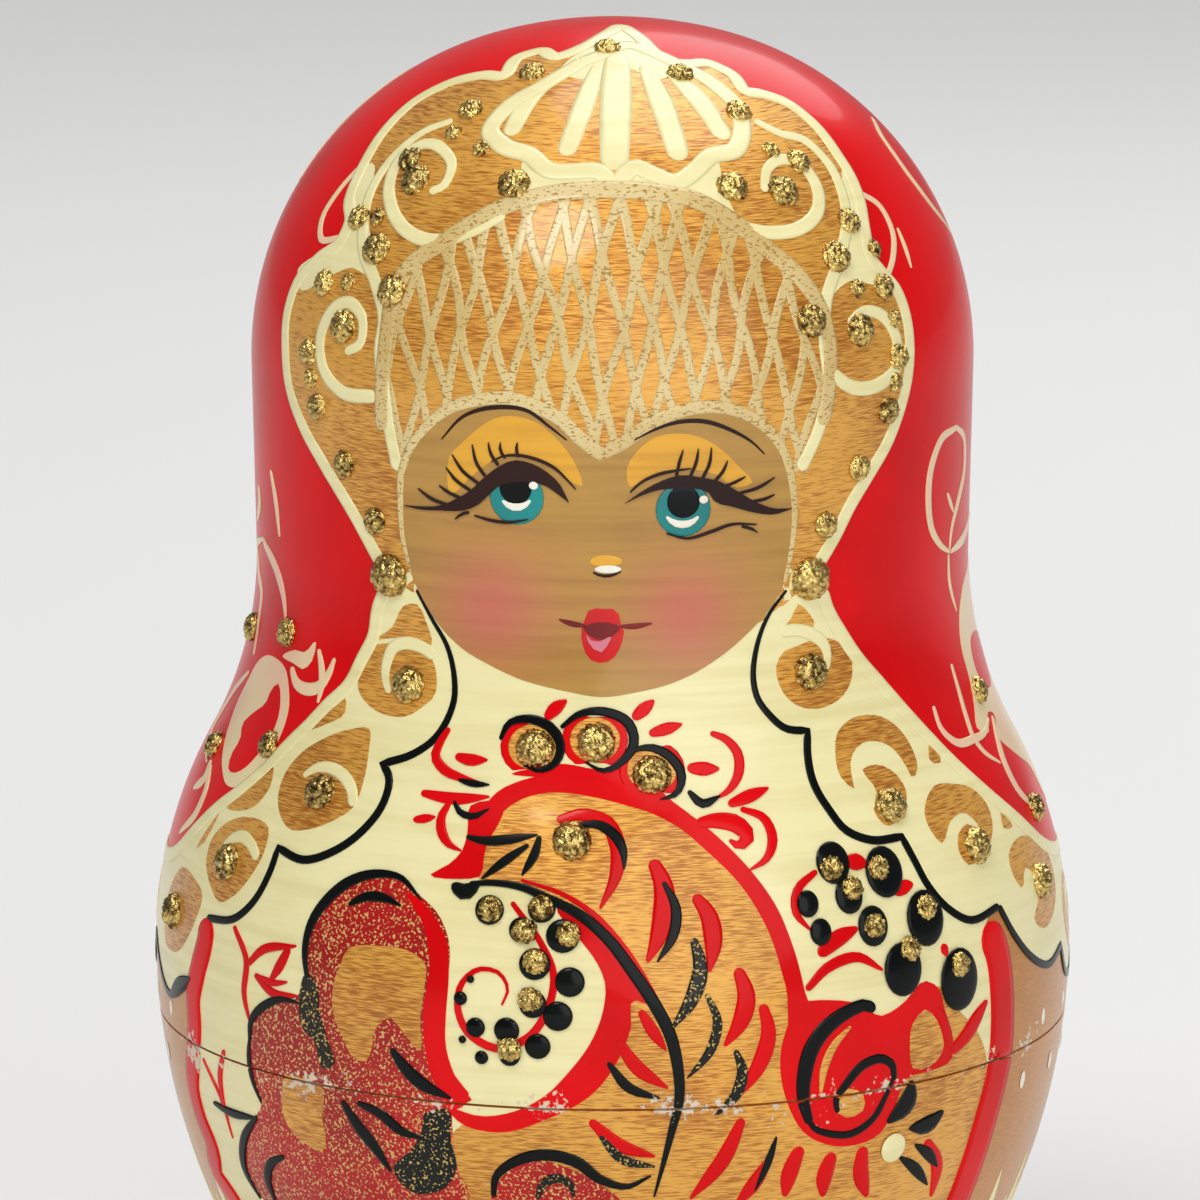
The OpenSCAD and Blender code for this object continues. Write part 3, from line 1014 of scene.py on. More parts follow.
    def brushed(self, pattern: Pattern, half: Half) -> list[Object]:
        """Lays the strokes of a theme on one half.

        Args:
            pattern: The theme.
            half: Which half.

        Returns:
            One object for each paint.
        """
        made = []
        low, high = self.reach(half)
        for paint in Paint:
            rails: list[dict[str, np.ndarray]] = []
            for stroke in pattern.strokes:
                if stroke.paint is paint and (self.largest or not stroke.fine):
                    rails += self.rails(stroke, low, high)
            if rails:
                made.append(self.sweep(rails, paint))
        return made

    def rails(self, stroke: Stroke, low: float, high: float) -> list[dict[str, np.ndarray]]:
        """Follows a stroke over one half.

        Args:
            stroke: The stroke.
            low: Least distance from the crown.
            high: Greatest distance from the crown.

        Returns:
            For each unbroken run, its points and what the brush needs there.
        """
        drawn = smooth(stroke.path, self.path_step)
        flat = drawn * (MEAN_RADIUS, 1.0)
        measure = np.concatenate([[0.0], np.cumsum(np.hypot(*np.diff(flat, axis=0).T))])
        tips = 0.5 * stroke.width * np.array(stroke.ends)
        stops = [measure, tips[0] * self.TIP_STEPS, measure[-1] - tips[1] * self.TIP_STEPS]
        for level in (low, high):
            beyond = drawn[:, 1] - level
            turns = np.flatnonzero(beyond[:-1] * beyond[1:] < 0)
            share = beyond[turns] / (beyond[turns] - beyond[turns + 1])
            stops.append(measure[turns] + share * (measure[turns + 1] - measure[turns]))
        at = np.unique(np.clip(np.concatenate(stops), 0.0, measure[-1]).round(6))
        path = np.stack([np.interp(at, measure, drawn[:, 0]), np.interp(at, measure, drawn[:, 1])], 1)
        share = at / measure[-1]
        ends = np.where(share < 0.5, stroke.ends[0], stroke.ends[1])
        half_width = 0.5 * stroke.width * (ends + (1 - ends) * np.sin(np.pi * share))
        if abs(math.sin((drawn[0, 0] - drawn[-1, 0]) / 2)) > 1e-3 or abs(drawn[0, 1] - drawn[-1, 1]) > 1e-3:
            for away, tip in ((at, tips[0]), (measure[-1] - at, tips[1])):
                short = 1 - np.clip(away / max(tip, 1e-6), 0.0, 1.0)
                half_width *= np.maximum(np.sqrt(1 - short ** 2), self.LEAST_TIP)
        lift = np.full(len(path), self.layer_lift * (1 + stroke.layer))
        spots, normals = self.profile.points(path, 0.0)
        ahead = np.gradient(spots, axis=0)
        side = np.cross(ahead, normals)
        side /= np.maximum(np.linalg.norm(side, axis=1, keepdims=True), 1e-9)
        kept = (path[:, 1] >= low - 1e-4) & (path[:, 1] <= high + 1e-4)
        runs = np.split(np.arange(len(path)), np.flatnonzero(np.diff(kept.astype(int))) + 1)
        return [{"spot": spots[r], "surface_normal": normals[r], "side": side[r], "half_width": half_width[r],
                 "lift": lift[r], "along": path[r, 1]} for r in runs if kept[r[0]] and len(r) > 1]

    def sweep(self, rails: list[dict[str, np.ndarray]], paint: Paint) -> Object:
        """Runs the brush along rails of one paint.

        Args:
            rails: The rails.
            paint: What the strokes are painted with.

        Returns:
            The strokes' object.
        """
        whole = {key: np.concatenate([rail[key] for rail in rails]) for key in rails[0]}
        edges, start = [], 0
        for rail in rails:
            edges += [(i, i + 1) for i in range(start, start + len(rail["spot"]) - 1)]
            start += len(rail["spot"])
        mesh = bpy.data.meshes.new(f"{paint.value}_strokes")
        mesh.from_pydata(self.placed(whole["spot"]), edges, [])
        size = self.scale * MM
        self.mark(mesh, whole["along"])
        for key in ("half_width", "lift"):
            store(mesh, key, whole[key] * size)
        for key in ("surface_normal", "side"):
            store(mesh, key, whole[key])
        return BrushTrees.grow(mesh, BrushTrees.stroke(), {
            "Section": BrushTrees.brush(), "Paint": material_of(paint), "Sink": self.film_sink * size})

    def dropped(self, pattern: Pattern, half: Half) -> list[Object]:
        """Sets the drops of a theme on one half.

        Args:
            pattern: The theme.
            half: Which half.

        Returns:
            One object for each paint.
        """
        made = []
        low, high = self.reach(half)
        for paint in Paint:
            found = [d for d in pattern.drops if d.paint is paint and low < d.place[1] < high]
            if not found:
                continue
            places = np.array([d.place for d in found])
            lift = np.array([self.layer_lift * d.layer for d in found])
            spots, normals = self.profile.points(places, lift)
            sizes = np.array([d.size for d in found]) * self.scale * MM
            made.append(drop_mesh(self.placed(spots), normals, sizes, paint, self.facets, 0.0,
                                  np.abs(places[:, 1] - self.profile.seam)))
        return made


ROW_SHARE, EDGE_CLEAR = 0.87, 0.55


def film_mesh(outline: np.ndarray, step: float, low: float, high: float) -> tuple[np.ndarray, np.ndarray]:
    """Fills an outline on the unrolled surface with even triangles.

    Args:
        outline: Corners of the outline.
        step: Distance between the points inside.
        low: Least distance from the crown that is kept.
        high: Greatest distance from the crown that is kept.

    Returns:
        Points and triangles of the part between low and high.
    """
    least, most = outline.min(0), outline.max(0)
    across, down = np.meshgrid(np.arange(least[0], most[0] + step, step),
                               np.arange(least[1], most[1] + step, ROW_SHARE * step))
    across[1::2] += step / 2
    inner = np.stack([across.ravel(), down.ravel()], 1)
    inner = inner[within(inner, outline)]
    if len(inner):
        clear = np.array([np.hypot(*(outline - spot).T).min() for spot in inner])
        inner = inner[clear > EDGE_CLEAR * step]
    corners = [Vector(p) for p in np.vstack([outline, inner])]
    edges = []
    for level in (low, high):
        if least[1] < level < most[1]:
            cut = np.arange(least[0] - step, most[0] + 2 * step, step)
            edges += [(i, i + 1) for i in range(len(corners), len(corners) + len(cut) - 1)]
            corners += [Vector((x, level)) for x in cut]
    points, _, faces, *_ = delaunay_2d_cdt(corners, edges, [list(range(len(outline)))], 1, 1e-5)
    places = np.array([p[:] for p in points])
    shapes = np.array([f for f in faces if len(f) == 3], int).reshape(-1, 3)
    if not len(shapes):
        return places, shapes
    middle = places[shapes].mean(1)
    shapes = shapes[(middle[:, 1] > low) & (middle[:, 1] < high) & within(middle, outline)]
    used, fresh = np.unique(shapes, return_inverse=True)
    return places[used], fresh.reshape(-1, 3)[:, ::-1]


def drop_mesh(spots: np.ndarray, normals: np.ndarray, sizes: np.ndarray, paint: Paint, facets: int,
              crinkle: float, gaps: np.ndarray) -> Object:
    """Sets drops on points of the surface.

    Args:
        spots: Where they sit, in metres.
        normals: Outward directions there.
        sizes: Width, length and rise of each.
        paint: What they are made of.
        facets: How finely each is made.
        crinkle: How far their leaf is creased, in metres.
        gaps: Distance of each from the seam.

    Returns:
        The drops' object.
    """
    mesh = bpy.data.meshes.new(f"{paint.value}_drops")
    mesh.from_pydata(spots, [], [])
    side = np.stack([-normals[:, 1], normals[:, 0], np.zeros(len(normals))], 1)
    side /= np.maximum(np.linalg.norm(side, axis=1, keepdims=True), 1e-9)
    for key, values in (("surface_normal", normals), ("side", side), ("size", sizes)):
        store(mesh, key, values)
    store(mesh, "seam_gap", gaps)
    return BrushTrees.grow(mesh, BrushTrees.drop(), {
        "Paint": material_of(paint), "Facets": facets, "Crinkle": crinkle, "Seed": BrushTrees.CREASE_SEED})


def sharpen(mesh: Mesh, angle: float) -> None:
    """Marks the edges of a mesh that turn by more than an angle as sharp."""
    work = bmesh.new()
    work.from_mesh(mesh)
    for edge in work.edges:
        if len(edge.link_faces) == 2 and edge.calc_face_angle(0.0) > angle:
            edge.smooth = False
    work.to_mesh(mesh)
    work.free()


def joined(shapes: list[Object], name: str) -> Object:
    """Joins objects into one piece.

    Args:
        shapes: The objects.
        name: Name of the piece.

    Returns:
        The piece.
    """
    with bpy.context.temp_override(active_object=shapes[0], object=shapes[0], selected_objects=shapes,
                                   selected_editable_objects=shapes):
        bpy.ops.object.join()
    shapes[0].name = shapes[0].data.name = name
    return shapes[0]


@dataclass
class Theme:
    """A part of the painting, given in pixels of the photograph."""

    camera: PhotoCamera

    def fills(self, made: Pattern, paint: Paint, layer: int, shapes: Shapes) -> None:
        """Adds a patch for each of some outlines."""
        for shape in shapes:
            made.fill(paint, layer, self.camera.px(*shape))

    def strokes(self, made: Pattern, paint: Paint, layer: int, paths: Shapes,
                ends: tuple[float, float]) -> None:
        """Adds a stroke for each of some paths, which say their width first."""
        for width, *path in paths:
            made.line(paint, layer, width, self.camera.px(*path), ends)


@dataclass
class Headdress(Theme):
    """Gold headdress with its net, fan and scrolls."""

    border_width: float = 1.6
    arc_width: float = 1.35
    scroll_width: float = 1.45
    net_width: float = 0.9
    fan_width: float = 1.9
    net_pitch_px: float = 31.0
    net_slope: float = 0.25
    net_seed: int = 7
    loop_width: float = 0.75
    net_edge_width: float = 1.9
    NET_DOWN_PX, NET_ACROSS_PX, NET_MIDDLE_PX = (185.0, 475.0, 7.0), (340.0, 880.0), 330.0
    SWAY_PX, SWAY_LENGTH_PX, SLIP_PX, TILT_SHARE = 2.0, 19.0, 4.0, 0.2
    EDGE_PX = (388, 575, 352, 510, 322, 460, 303, 425, 291, 392, 286, 350, 288, 312, 298, 282, 318, 260,
        342, 240, 350, 222, 350, 198, 359, 175, 366, 161, 385, 131, 412, 104, 444, 86, 481, 76, 507, 74,
        517, 59, 537, 52, 558, 57, 587, 46, 606, 35, 627, 30, 640, 39, 652, 51, 668, 61, 690, 64, 712, 65,
        733, 76, 743, 90, 763, 95, 791, 106, 816, 127, 837, 155, 851, 178, 858, 196, 864, 228, 870, 256,
        884, 276, 896, 290, 904, 310, 909, 342, 906, 384, 888, 440, 868, 475, 850, 505, 835, 535,
        811, 575)
    INNER_LEFT_PX = (453, 121, 421, 134, 393, 158, 373, 188, 364, 220, 364, 252, 375, 280, 384, 318,
        380, 352, 384, 384, 390, 430, 398, 470)
    INNER_RIGHT_PX = (754, 121, 780, 134, 806, 142, 828, 164, 842, 194, 846, 224, 838, 262, 826, 300,
        824, 340, 828, 384, 818, 430, 800, 470)
    FAN_PX = (583, 62, 545, 85, 505, 110, 491, 128, 503, 146, 530, 156, 549, 171, 575, 172, 598, 172,
        614, 184, 634, 168, 655, 176, 675, 183, 694, 172, 710, 157, 735, 150, 742, 130, 735, 105, 712, 84,
        680, 66, 630, 46)
    FAN_RAYS_PX = ((566, 70, 536, 92, 509, 136), (598, 66, 586, 100, 565, 156), (616, 50, 616, 100,
        614, 170), (644, 66, 662, 105, 680, 161), (668, 70, 698, 100, 726, 140))
    FAN_RAY_WIDTHS = (2.1, 2.2, 3.2, 2.5, 2.4)
    JUNCTIONS_PX = ((358, 168, 374, 164, 370, 200, 370, 232, 379, 262, 372, 273, 352, 268, 330, 276,
        300, 288, 298, 272, 318, 254, 336, 240, 346, 222, 348, 198), (843, 165, 856, 184, 861, 204,
        866, 240, 878, 272, 892, 290, 872, 285, 850, 281, 836, 291, 827, 302, 834, 272, 843, 240,
        846, 210, 842, 185))
    LOOPS_PX = ((359, 168, 339, 191, 323, 217, 321, 238, 340, 238), (858, 192, 881, 208, 892, 231,
        893, 255, 886, 279))
    PEAK_PX = (562, 68, 588, 48, 606, 37, 627, 32, 640, 41, 654, 53, 674, 66, 660, 80, 630, 70, 606, 72,
        584, 80)
    BAND_PX = (524, 160, 549, 171, 575, 172, 598, 172, 614, 184, 634, 168, 655, 176, 675, 183, 694, 172,
        716, 158, 724, 190, 738, 224, 694, 204, 658, 197, 620, 194, 583, 195, 546, 199, 516, 207,
        520, 182)
    SCROLLS_PX = ((505, 213, 472, 231, 435, 241, 407, 231, 392, 208, 390, 184, 399, 161, 420, 146,
        444, 151, 452, 169, 444, 186, 430, 192), (376, 397, 340, 390, 323, 366, 321, 338, 332, 312,
        350, 303, 363, 319, 361, 343, 346, 352), (722, 214, 745, 228, 777, 233, 804, 226, 818, 208,
        815, 184, 802, 166, 782, 160, 766, 172, 764, 192), (830, 372, 851, 387, 879, 384, 897, 364,
        895, 336, 882, 316, 862, 312, 848, 324))
    NET_EDGE_PX = (382, 430, 383, 370, 387, 333, 393, 297, 411, 265, 436, 247, 472, 224, 509, 205,
        546, 195, 583, 191, 620, 190, 658, 193, 694, 200, 735, 223, 763, 246, 796, 274, 819, 306,
        828, 335, 829, 380, 822, 425)

    def pattern(self) -> Pattern:
        """Returns the headdress as paint."""
        c, made = self.camera, Pattern("headdress")
        made.fill(Paint.AMBER, 1, c.px(*self.EDGE_PX))
        made.line(Paint.CREAM, 3, self.border_width, c.px(*self.EDGE_PX), (0.9, 0.9))
        for arc in (self.INNER_LEFT_PX, self.INNER_RIGHT_PX):
            made.line(Paint.CREAM, 3, self.arc_width, c.px(*arc), (0.6, 1.0))
        self.fills(made, Paint.CREAM, 2, self.JUNCTIONS_PX)
        for loop in self.LOOPS_PX:
            made.line(Paint.THIN, 2, self.loop_width, c.px(*loop), (0.8, 0.8))
        made.line(Paint.CREAM, 3, self.fan_width, c.px(*self.FAN_PX, *self.FAN_PX[:2]), (1.0, 1.0))
        for ray, width in zip(self.FAN_RAYS_PX, self.FAN_RAY_WIDTHS):
            made.line(Paint.CREAM, 2, width, c.px(*ray), (0.5, 0.85))
        self.fills(made, Paint.CREAM, 2, (self.PEAK_PX, self.BAND_PX))
        for scroll in self.SCROLLS_PX:
            made.line(Paint.CREAM, 4, self.scroll_width, c.px(*scroll), (0.9, 0.6))
        made.line(Paint.NET, 4, self.net_edge_width, c.px(*self.NET_EDGE_PX), (0.8, 0.8))
        for path in self.net():
            made.line(Paint.NET, 2, self.net_width, c.px(*path.ravel()), (1.2, 0.9), fine=True)
        return made

    def net(self) -> list[np.ndarray]:
        """Works out the crossing lines of the net.

        Returns:
            Pixels along each line that lies in the net's field.
        """
        top = np.array(self.NET_EDGE_PX, float).reshape(-1, 2)
        brow = np.array(Visage.FACE_PX, float).reshape(-1, 2)[:Visage.BROW_POINTS][::-1]
        field_ = np.vstack([top, brow])
        lines = []
        chance = np.random.default_rng(self.net_seed)
        down = np.arange(*self.NET_DOWN_PX)
        for lean in (-self.net_slope, self.net_slope):
            for start in np.arange(*self.NET_ACROSS_PX, self.net_pitch_px):
                slip, tilt, swing = chance.uniform(-1.0, 1.0, 3)
                sway = (self.SWAY_PX + swing) * np.sin(down / self.SWAY_LENGTH_PX + start)
                slant = lean * (1.0 + self.TILT_SHARE * tilt) * (down - self.NET_MIDDLE_PX)
                path = np.stack([start + self.SLIP_PX * slip + slant + sway, down], 1)
                kept = within(path, field_)
                runs = np.split(np.arange(len(path)), np.flatnonzero(np.diff(kept.astype(int))) + 1)
                lines += [path[r] for r in runs if kept[r[0]] and len(r) > 2]
        return lines


@dataclass
class Visage(Theme):
    """Painted face on bare limewood."""

    FACE_PX = (401, 501, 402, 473, 411, 447, 428, 425, 450, 408, 478, 400, 506, 398, 537, 407, 560, 419,
        579, 437, 600, 454, 600, 454, 621, 444, 641, 430, 663, 418, 689, 409, 717, 407, 745, 414,
        770, 432, 784, 453, 792, 484, 794, 520, 790, 554, 784, 582, 773, 604, 759, 621, 739, 641,
        711, 663, 675, 682, 633, 693, 604, 697, 565, 691, 520, 679, 492, 666, 461, 647, 439, 624,
        422, 596, 411, 571, 403, 535)
    BROW_POINTS = 22
    CHEEKS_DEG = ((-16.6, 97.4, 6.0), (13.8, 97.0, 5.6))
    LEFT_LID_PX = (405, 505, 422, 509, 442, 510, 464, 510, 478, 505, 489, 495, 501, 485, 515, 482,
        531, 482, 543, 484, 560, 495, 569, 502, 569, 502, 560, 484, 546, 471, 531, 463, 515, 460,
        498, 467, 484, 478, 470, 491, 456, 499, 442, 505, 420, 506, 405, 505)
    RIGHT_LID_PX = (625, 503, 644, 494, 661, 489, 680, 488, 694, 488, 708, 492, 714, 501, 731, 506,
        753, 512, 773, 514, 791, 508, 791, 508, 773, 508, 756, 502, 739, 492, 719, 481, 700, 477,
        680, 475, 663, 480, 647, 488, 625, 503)
    LEFT_SHADOW_PX = (450, 456, 461, 444, 473, 433, 487, 422, 503, 416, 526, 418, 543, 426, 560, 442,
        574, 461, 582, 486, 568, 480, 554, 467, 537, 459, 520, 455, 503, 456, 486, 465, 470, 478,
        452, 494)
    RIGHT_SHADOW_PX = (630, 487, 627, 467, 638, 450, 655, 437, 677, 433, 700, 437, 722, 450, 739, 467,
        752, 482, 735, 487, 719, 476, 700, 470, 677, 470, 658, 474, 641, 482)
    LINES_PX = ((492, 461, 503, 456, 520, 455, 537, 459, 554, 467, 568, 480, 576, 489), (630, 492,
        641, 482, 658, 474, 677, 470, 691, 468), (475, 515, 492, 520, 509, 522, 529, 519), (666, 533,
        686, 538, 711, 531, 731, 524, 756, 524))
    LASHES_PX = ((486, 476, 477, 462, 473, 444), (479, 483, 463, 470, 453, 454), (471, 490, 456, 479,
        447, 467), (462, 498, 448, 491, 440, 485), (450, 505, 432, 498, 419, 488), (499, 465, 491, 452,
        489, 442), (506, 458, 501, 450, 501, 442), (519, 457, 517, 449, 518, 442), (676, 476, 679, 462,
        683, 449), (690, 476, 696, 461, 698, 448), (702, 478, 709, 463, 711, 447), (714, 481, 723, 470,
        727, 460), (724, 486, 736, 481, 745, 476), (738, 493, 758, 487, 774, 477), (752, 501, 763, 499,
        774, 494), (741, 526, 750, 528, 757, 532), (470, 512, 462, 514, 456, 519))
    BROWS_PX = ((442, 439, 464, 416, 498, 407, 529, 411, 548, 425, 567, 440), (634, 440, 655, 429,
        677, 422, 703, 421, 731, 430, 753, 443, 764, 454))
    EYES_PX = ((517, 497, 516, 488, 534, 485, 503, 500, 509, 505, 517, 507, 525, 505, 531, 500),
        (683, 509, 683, 502, 703, 499, 666, 516, 673, 522, 682, 524, 691, 522, 698, 516))
    IRIS_MM, PUPIL_MM, GLINT_MM = (5.4, 5.4, 0.10), (3.3, 3.3, 0.10), (0.9, 0.8, 0.08)
    NOSE_PX, NOSE_MM, NOSE_LIGHT_PX, NOSE_LIGHT_MM = ((606, 561), (3.2, 1.2, 0.06), (608, 569),
        (2.6, 0.8, 0.06))
    NOSTRILS_PX = (593, 572, 600, 575, 612, 575, 621, 571)
    BLUSH_STRENGTH, BLUSH_SPREAD = 0.75, 0.9
    brow_edge_width: float = 1.4
    light_width: float = 0.75
    lid_line_width: float = 0.32
    lash_width: float = 0.3
    brow_width: float = 0.42
    lip_line_width: float = 0.55
    LIPS_PX = (585, 619, 588, 611, 595, 608, 603, 609, 611, 608, 618, 612, 620, 621, 624, 631, 622, 642,
        618, 652, 611, 660, 602, 663, 591, 660, 585, 652, 582, 640, 581, 630)
    MOUTH_PX = (583, 627, 592, 623, 602, 622, 612, 623, 621, 627, 614, 635, 602, 640, 590, 636)
    TONGUE_PX = (586, 634, 591, 640, 602, 641, 612, 635, 608, 644, 602, 652, 594, 649, 589, 643)
    LIP_LINES_PX = ((559, 619, 570, 623, 588, 626), (617, 626, 635, 626, 652, 623))

    @classmethod
    def blush(cls, places: np.ndarray) -> np.ndarray:
        """Strength of the blush on the cheeks.

        Args:
            places: Places on the face.

        Returns:
            From 0 to 1 for each place.
        """
        profile = TurnedProfile()
        strength = np.zeros(len(places))
        for angle, height, spread in cls.CHEEKS_DEG:
            across = (places[:, 0] - math.radians(angle)) * profile.neck_radius
            up = places[:, 1] - profile.along_at(height)
            reach = spread ** 2 * cls.BLUSH_SPREAD
            strength += cls.BLUSH_STRENGTH * np.exp(-(across ** 2 + up ** 2) / reach)
        return np.clip(strength, 0.0, 1.0)

    def pattern(self) -> Pattern:
        """Returns the face as paint."""
        c, made = self.camera, Pattern("face")
        face = c.px(*self.FACE_PX)
        made.fill(Paint.FACE, 3, face)
        edge = np.vstack([face[-2:], face[:self.BROW_POINTS + 2]])
        made.line(Paint.NET, 4, self.brow_edge_width, edge, (0.25, 0.25))
        self.fills(made, Paint.SHADOW, 4, (self.LEFT_SHADOW_PX, self.RIGHT_SHADOW_PX))
        for eye in self.EYES_PX:
            made.dot(Paint.IRIS, 4, c.px(*eye[:2]), self.IRIS_MM)
            made.dot(Paint.BLACK, 6, c.px(*eye[2:4]), self.PUPIL_MM)
            made.dot(Paint.WHITE, 9, c.px(*eye[4:6]), self.GLINT_MM)
            made.line(Paint.WHITE, 8, self.light_width, c.px(*eye[6:]), (0.3, 0.3))
        self.fills(made, Paint.LID, 9, (self.LEFT_LID_PX, self.RIGHT_LID_PX))
        for line in self.LINES_PX:
            made.line(Paint.LID, 9, self.lid_line_width, c.px(*line), (0.4, 0.3))
        for lash in self.LASHES_PX:
            made.line(Paint.LID, 9, self.lash_width, c.px(*lash), (0.9, 0.2), fine=True)
        for brow in self.BROWS_PX:
            made.line(Paint.LID, 5, self.brow_width, c.px(*brow), (0.3, 0.3))
        made.dot(Paint.SHADOW, 4, c.px(*self.NOSE_PX), self.NOSE_MM)
        made.dot(Paint.WHITE, 5, c.px(*self.NOSE_LIGHT_PX), self.NOSE_LIGHT_MM)
        made.line(Paint.LID, 6, self.lash_width, c.px(*self.NOSTRILS_PX), (0.5, 0.5))
        made.fill(Paint.LIP, 4, c.px(*self.LIPS_PX))
        made.fill(Paint.WINE, 5, c.px(*self.MOUTH_PX))
        made.fill(Paint.ROSE, 6, c.px(*self.TONGUE_PX))
        for line in self.LIP_LINES_PX:
            made.line(Paint.WINE, 5, self.lip_line_width, c.px(*line), (0.25, 0.25))
        return made


@dataclass
class Collar(Theme):
    """Cream ground of collar and apron, with the collar's gold scallops and black edge."""

    lace_back: float = 66.0
    cusp_back: float = 58.5
    dip_back: float = 54.3
    back_scallops: int = 6
    left_cusp_deg: float = -82.0
    right_cusp_deg: float = 78.6
    edge_width: float = 0.85
    lace_width: float = 1.5
    curl_width: float = 1.3
    back_curl_width: float = 1.1
    ground_lap: float = 1.0
    EAR_LEFT_PX, EAR_RIGHT_PX = (388, 585), (811, 585)
    CHIN_PX = (430, 560, 430, 560, 780, 560, 780, 560)
    SIDE_TURNS_DEG = (100, 130)
    BELLY_SHARE, BELLY_LIFT = 0.18, 1.2
    LAPPET_SHARE, LAPPET_DROP = 0.55, 5.0
    LAPPET = ((-1, 0), (-0.7, 2.6), (0, 3.6), (0.7, 2.6), (1, 0), (0.6, -2.8), (0, -4.2), (-0.6, -2.8))
    BACK_CURL = ((0.9, -1.5), (0.7, 1.2), (0.1, 2.0), (-0.4, 0.6), (-0.1, -0.8))
    LACE_LEFT_PX = (378, 610, 374, 636, 362, 660, 349, 685, 327, 706, 309, 725, 285, 748, 266, 768,
        242, 789, 215, 810, 196, 829, 180, 848)
    LACE_RIGHT_PX = (822, 594, 826, 607, 841, 634, 857, 658, 878, 682, 902, 709, 929, 738, 956, 765,
        988, 794, 1017, 819, 1042, 843)
    EDGE_LEFT_PX = (417, 590, 432, 618, 448, 647, 455, 680, 455, 697, 449, 717, 434, 740, 414, 754,
        383, 764, 383, 764, 389, 775, 384, 803, 363, 831, 335, 851, 304, 860, 279, 848, 279, 848,
        271, 871, 254, 902, 236, 918, 208, 918)
    SIDE_LEFT_PX = (208, 918, 204, 940, 195, 970, 183, 988, 172, 994)
    EDGE_RIGHT_PX = (786, 590, 768, 615, 755, 653, 753, 680, 757, 698, 769, 715, 784, 728, 807, 731,
        807, 731, 807, 753, 813, 783, 828, 809, 845, 830, 869, 840, 901, 837, 901, 837, 913, 859,
        927, 885, 948, 909, 968, 920, 998, 906)
    SIDE_RIGHT_PX = (998, 906, 1012, 932, 1030, 956, 1048, 964)
    GOLD_PX = ((404, 606, 417, 604, 427, 623, 432, 645, 419, 640, 394, 638, 376, 639, 392, 628),
        (360, 669, 370, 648, 390, 643, 412, 644, 430, 655, 437, 675, 434, 697, 424, 706, 408, 716,
        390, 716, 370, 706, 359, 690), (370, 729, 369, 752, 364, 781, 353, 808, 333, 821, 311, 829,
        290, 829, 281, 816, 279, 794, 286, 773, 301, 754, 322, 740, 349, 730), (269, 828, 266, 848,
        252, 875, 234, 896, 220, 902, 211, 885, 207, 861, 212, 840, 226, 824, 247, 817), (183, 867,
        194, 877, 203, 896, 196, 920, 175, 952, 166, 940, 166, 915, 172, 885), (345, 695, 346, 711,
        325, 725, 311, 730), (273, 764, 271, 786, 258, 804, 228, 808), (220, 813, 204, 843, 198, 848),
        (798, 604, 806, 610, 814, 626, 806, 630, 782, 630, 791, 618), (826, 638, 841, 644, 851, 660,
        851, 679, 843, 695, 827, 706, 809, 709, 790, 701, 779, 685, 776, 666, 784, 651, 795, 647,
        811, 640), (837, 733, 846, 722, 865, 715, 886, 719, 902, 733, 913, 752, 917, 768, 913, 778,
        902, 760, 889, 746, 873, 741, 859, 745, 851, 757, 851, 776, 854, 789, 841, 778, 835, 754),
        (862, 770, 878, 765, 894, 773, 905, 789, 903, 812, 886, 826, 874, 812, 876, 790), (924, 813,
        934, 786, 953, 784, 972, 789, 988, 808, 992, 829, 985, 851, 977, 824, 964, 813, 950, 821,
        941, 843, 930, 830), (958, 834, 968, 824, 979, 836, 980, 856, 968, 865, 958, 850), (1008, 856,
        1015, 840, 1031, 837, 1047, 853, 1054, 880, 1052, 915, 1042, 928, 1034, 920, 1038, 896, 1032, 872,
        1024, 868, 1022, 888, 1015, 880), (929, 742, 941, 762, 930, 762), (1000, 813, 1012, 826,
        1003, 828))
    CURLS_PX = ((436, 657, 424, 648, 408, 643, 394, 647, 388, 660, 386, 679, 390, 693), (354, 806,
        352, 789, 344, 776, 330, 768, 317, 768, 304, 776), (258, 859, 252, 845, 244, 837, 231, 840,
        222, 850), (780, 632, 795, 630, 811, 634, 825, 647, 827, 660, 826, 669))

    def scallops(self, start: float) -> np.ndarray:
        """Edge of the collar from a cusp at the side round to the middle of the back.

        Args:
            start: Degrees of the cusp, negative on the left.

        Returns:
            Places along the edge.
        """
        turns = np.linspace(start, math.copysign(180.0, start), self.back_scallops + 1)
        flat: list[float] = []
        for begin, end in zip(turns, turns[1:]):
            span, belly = end - begin, self.dip_back + self.BELLY_LIFT
            flat += [begin, self.cusp_back, begin, self.cusp_back, begin + self.BELLY_SHARE * span, belly,
                     begin + 0.5 * span, self.dip_back, begin + (1 - self.BELLY_SHARE) * span, belly]
        return self.camera.at(*flat, turns[-1], self.cusp_back)

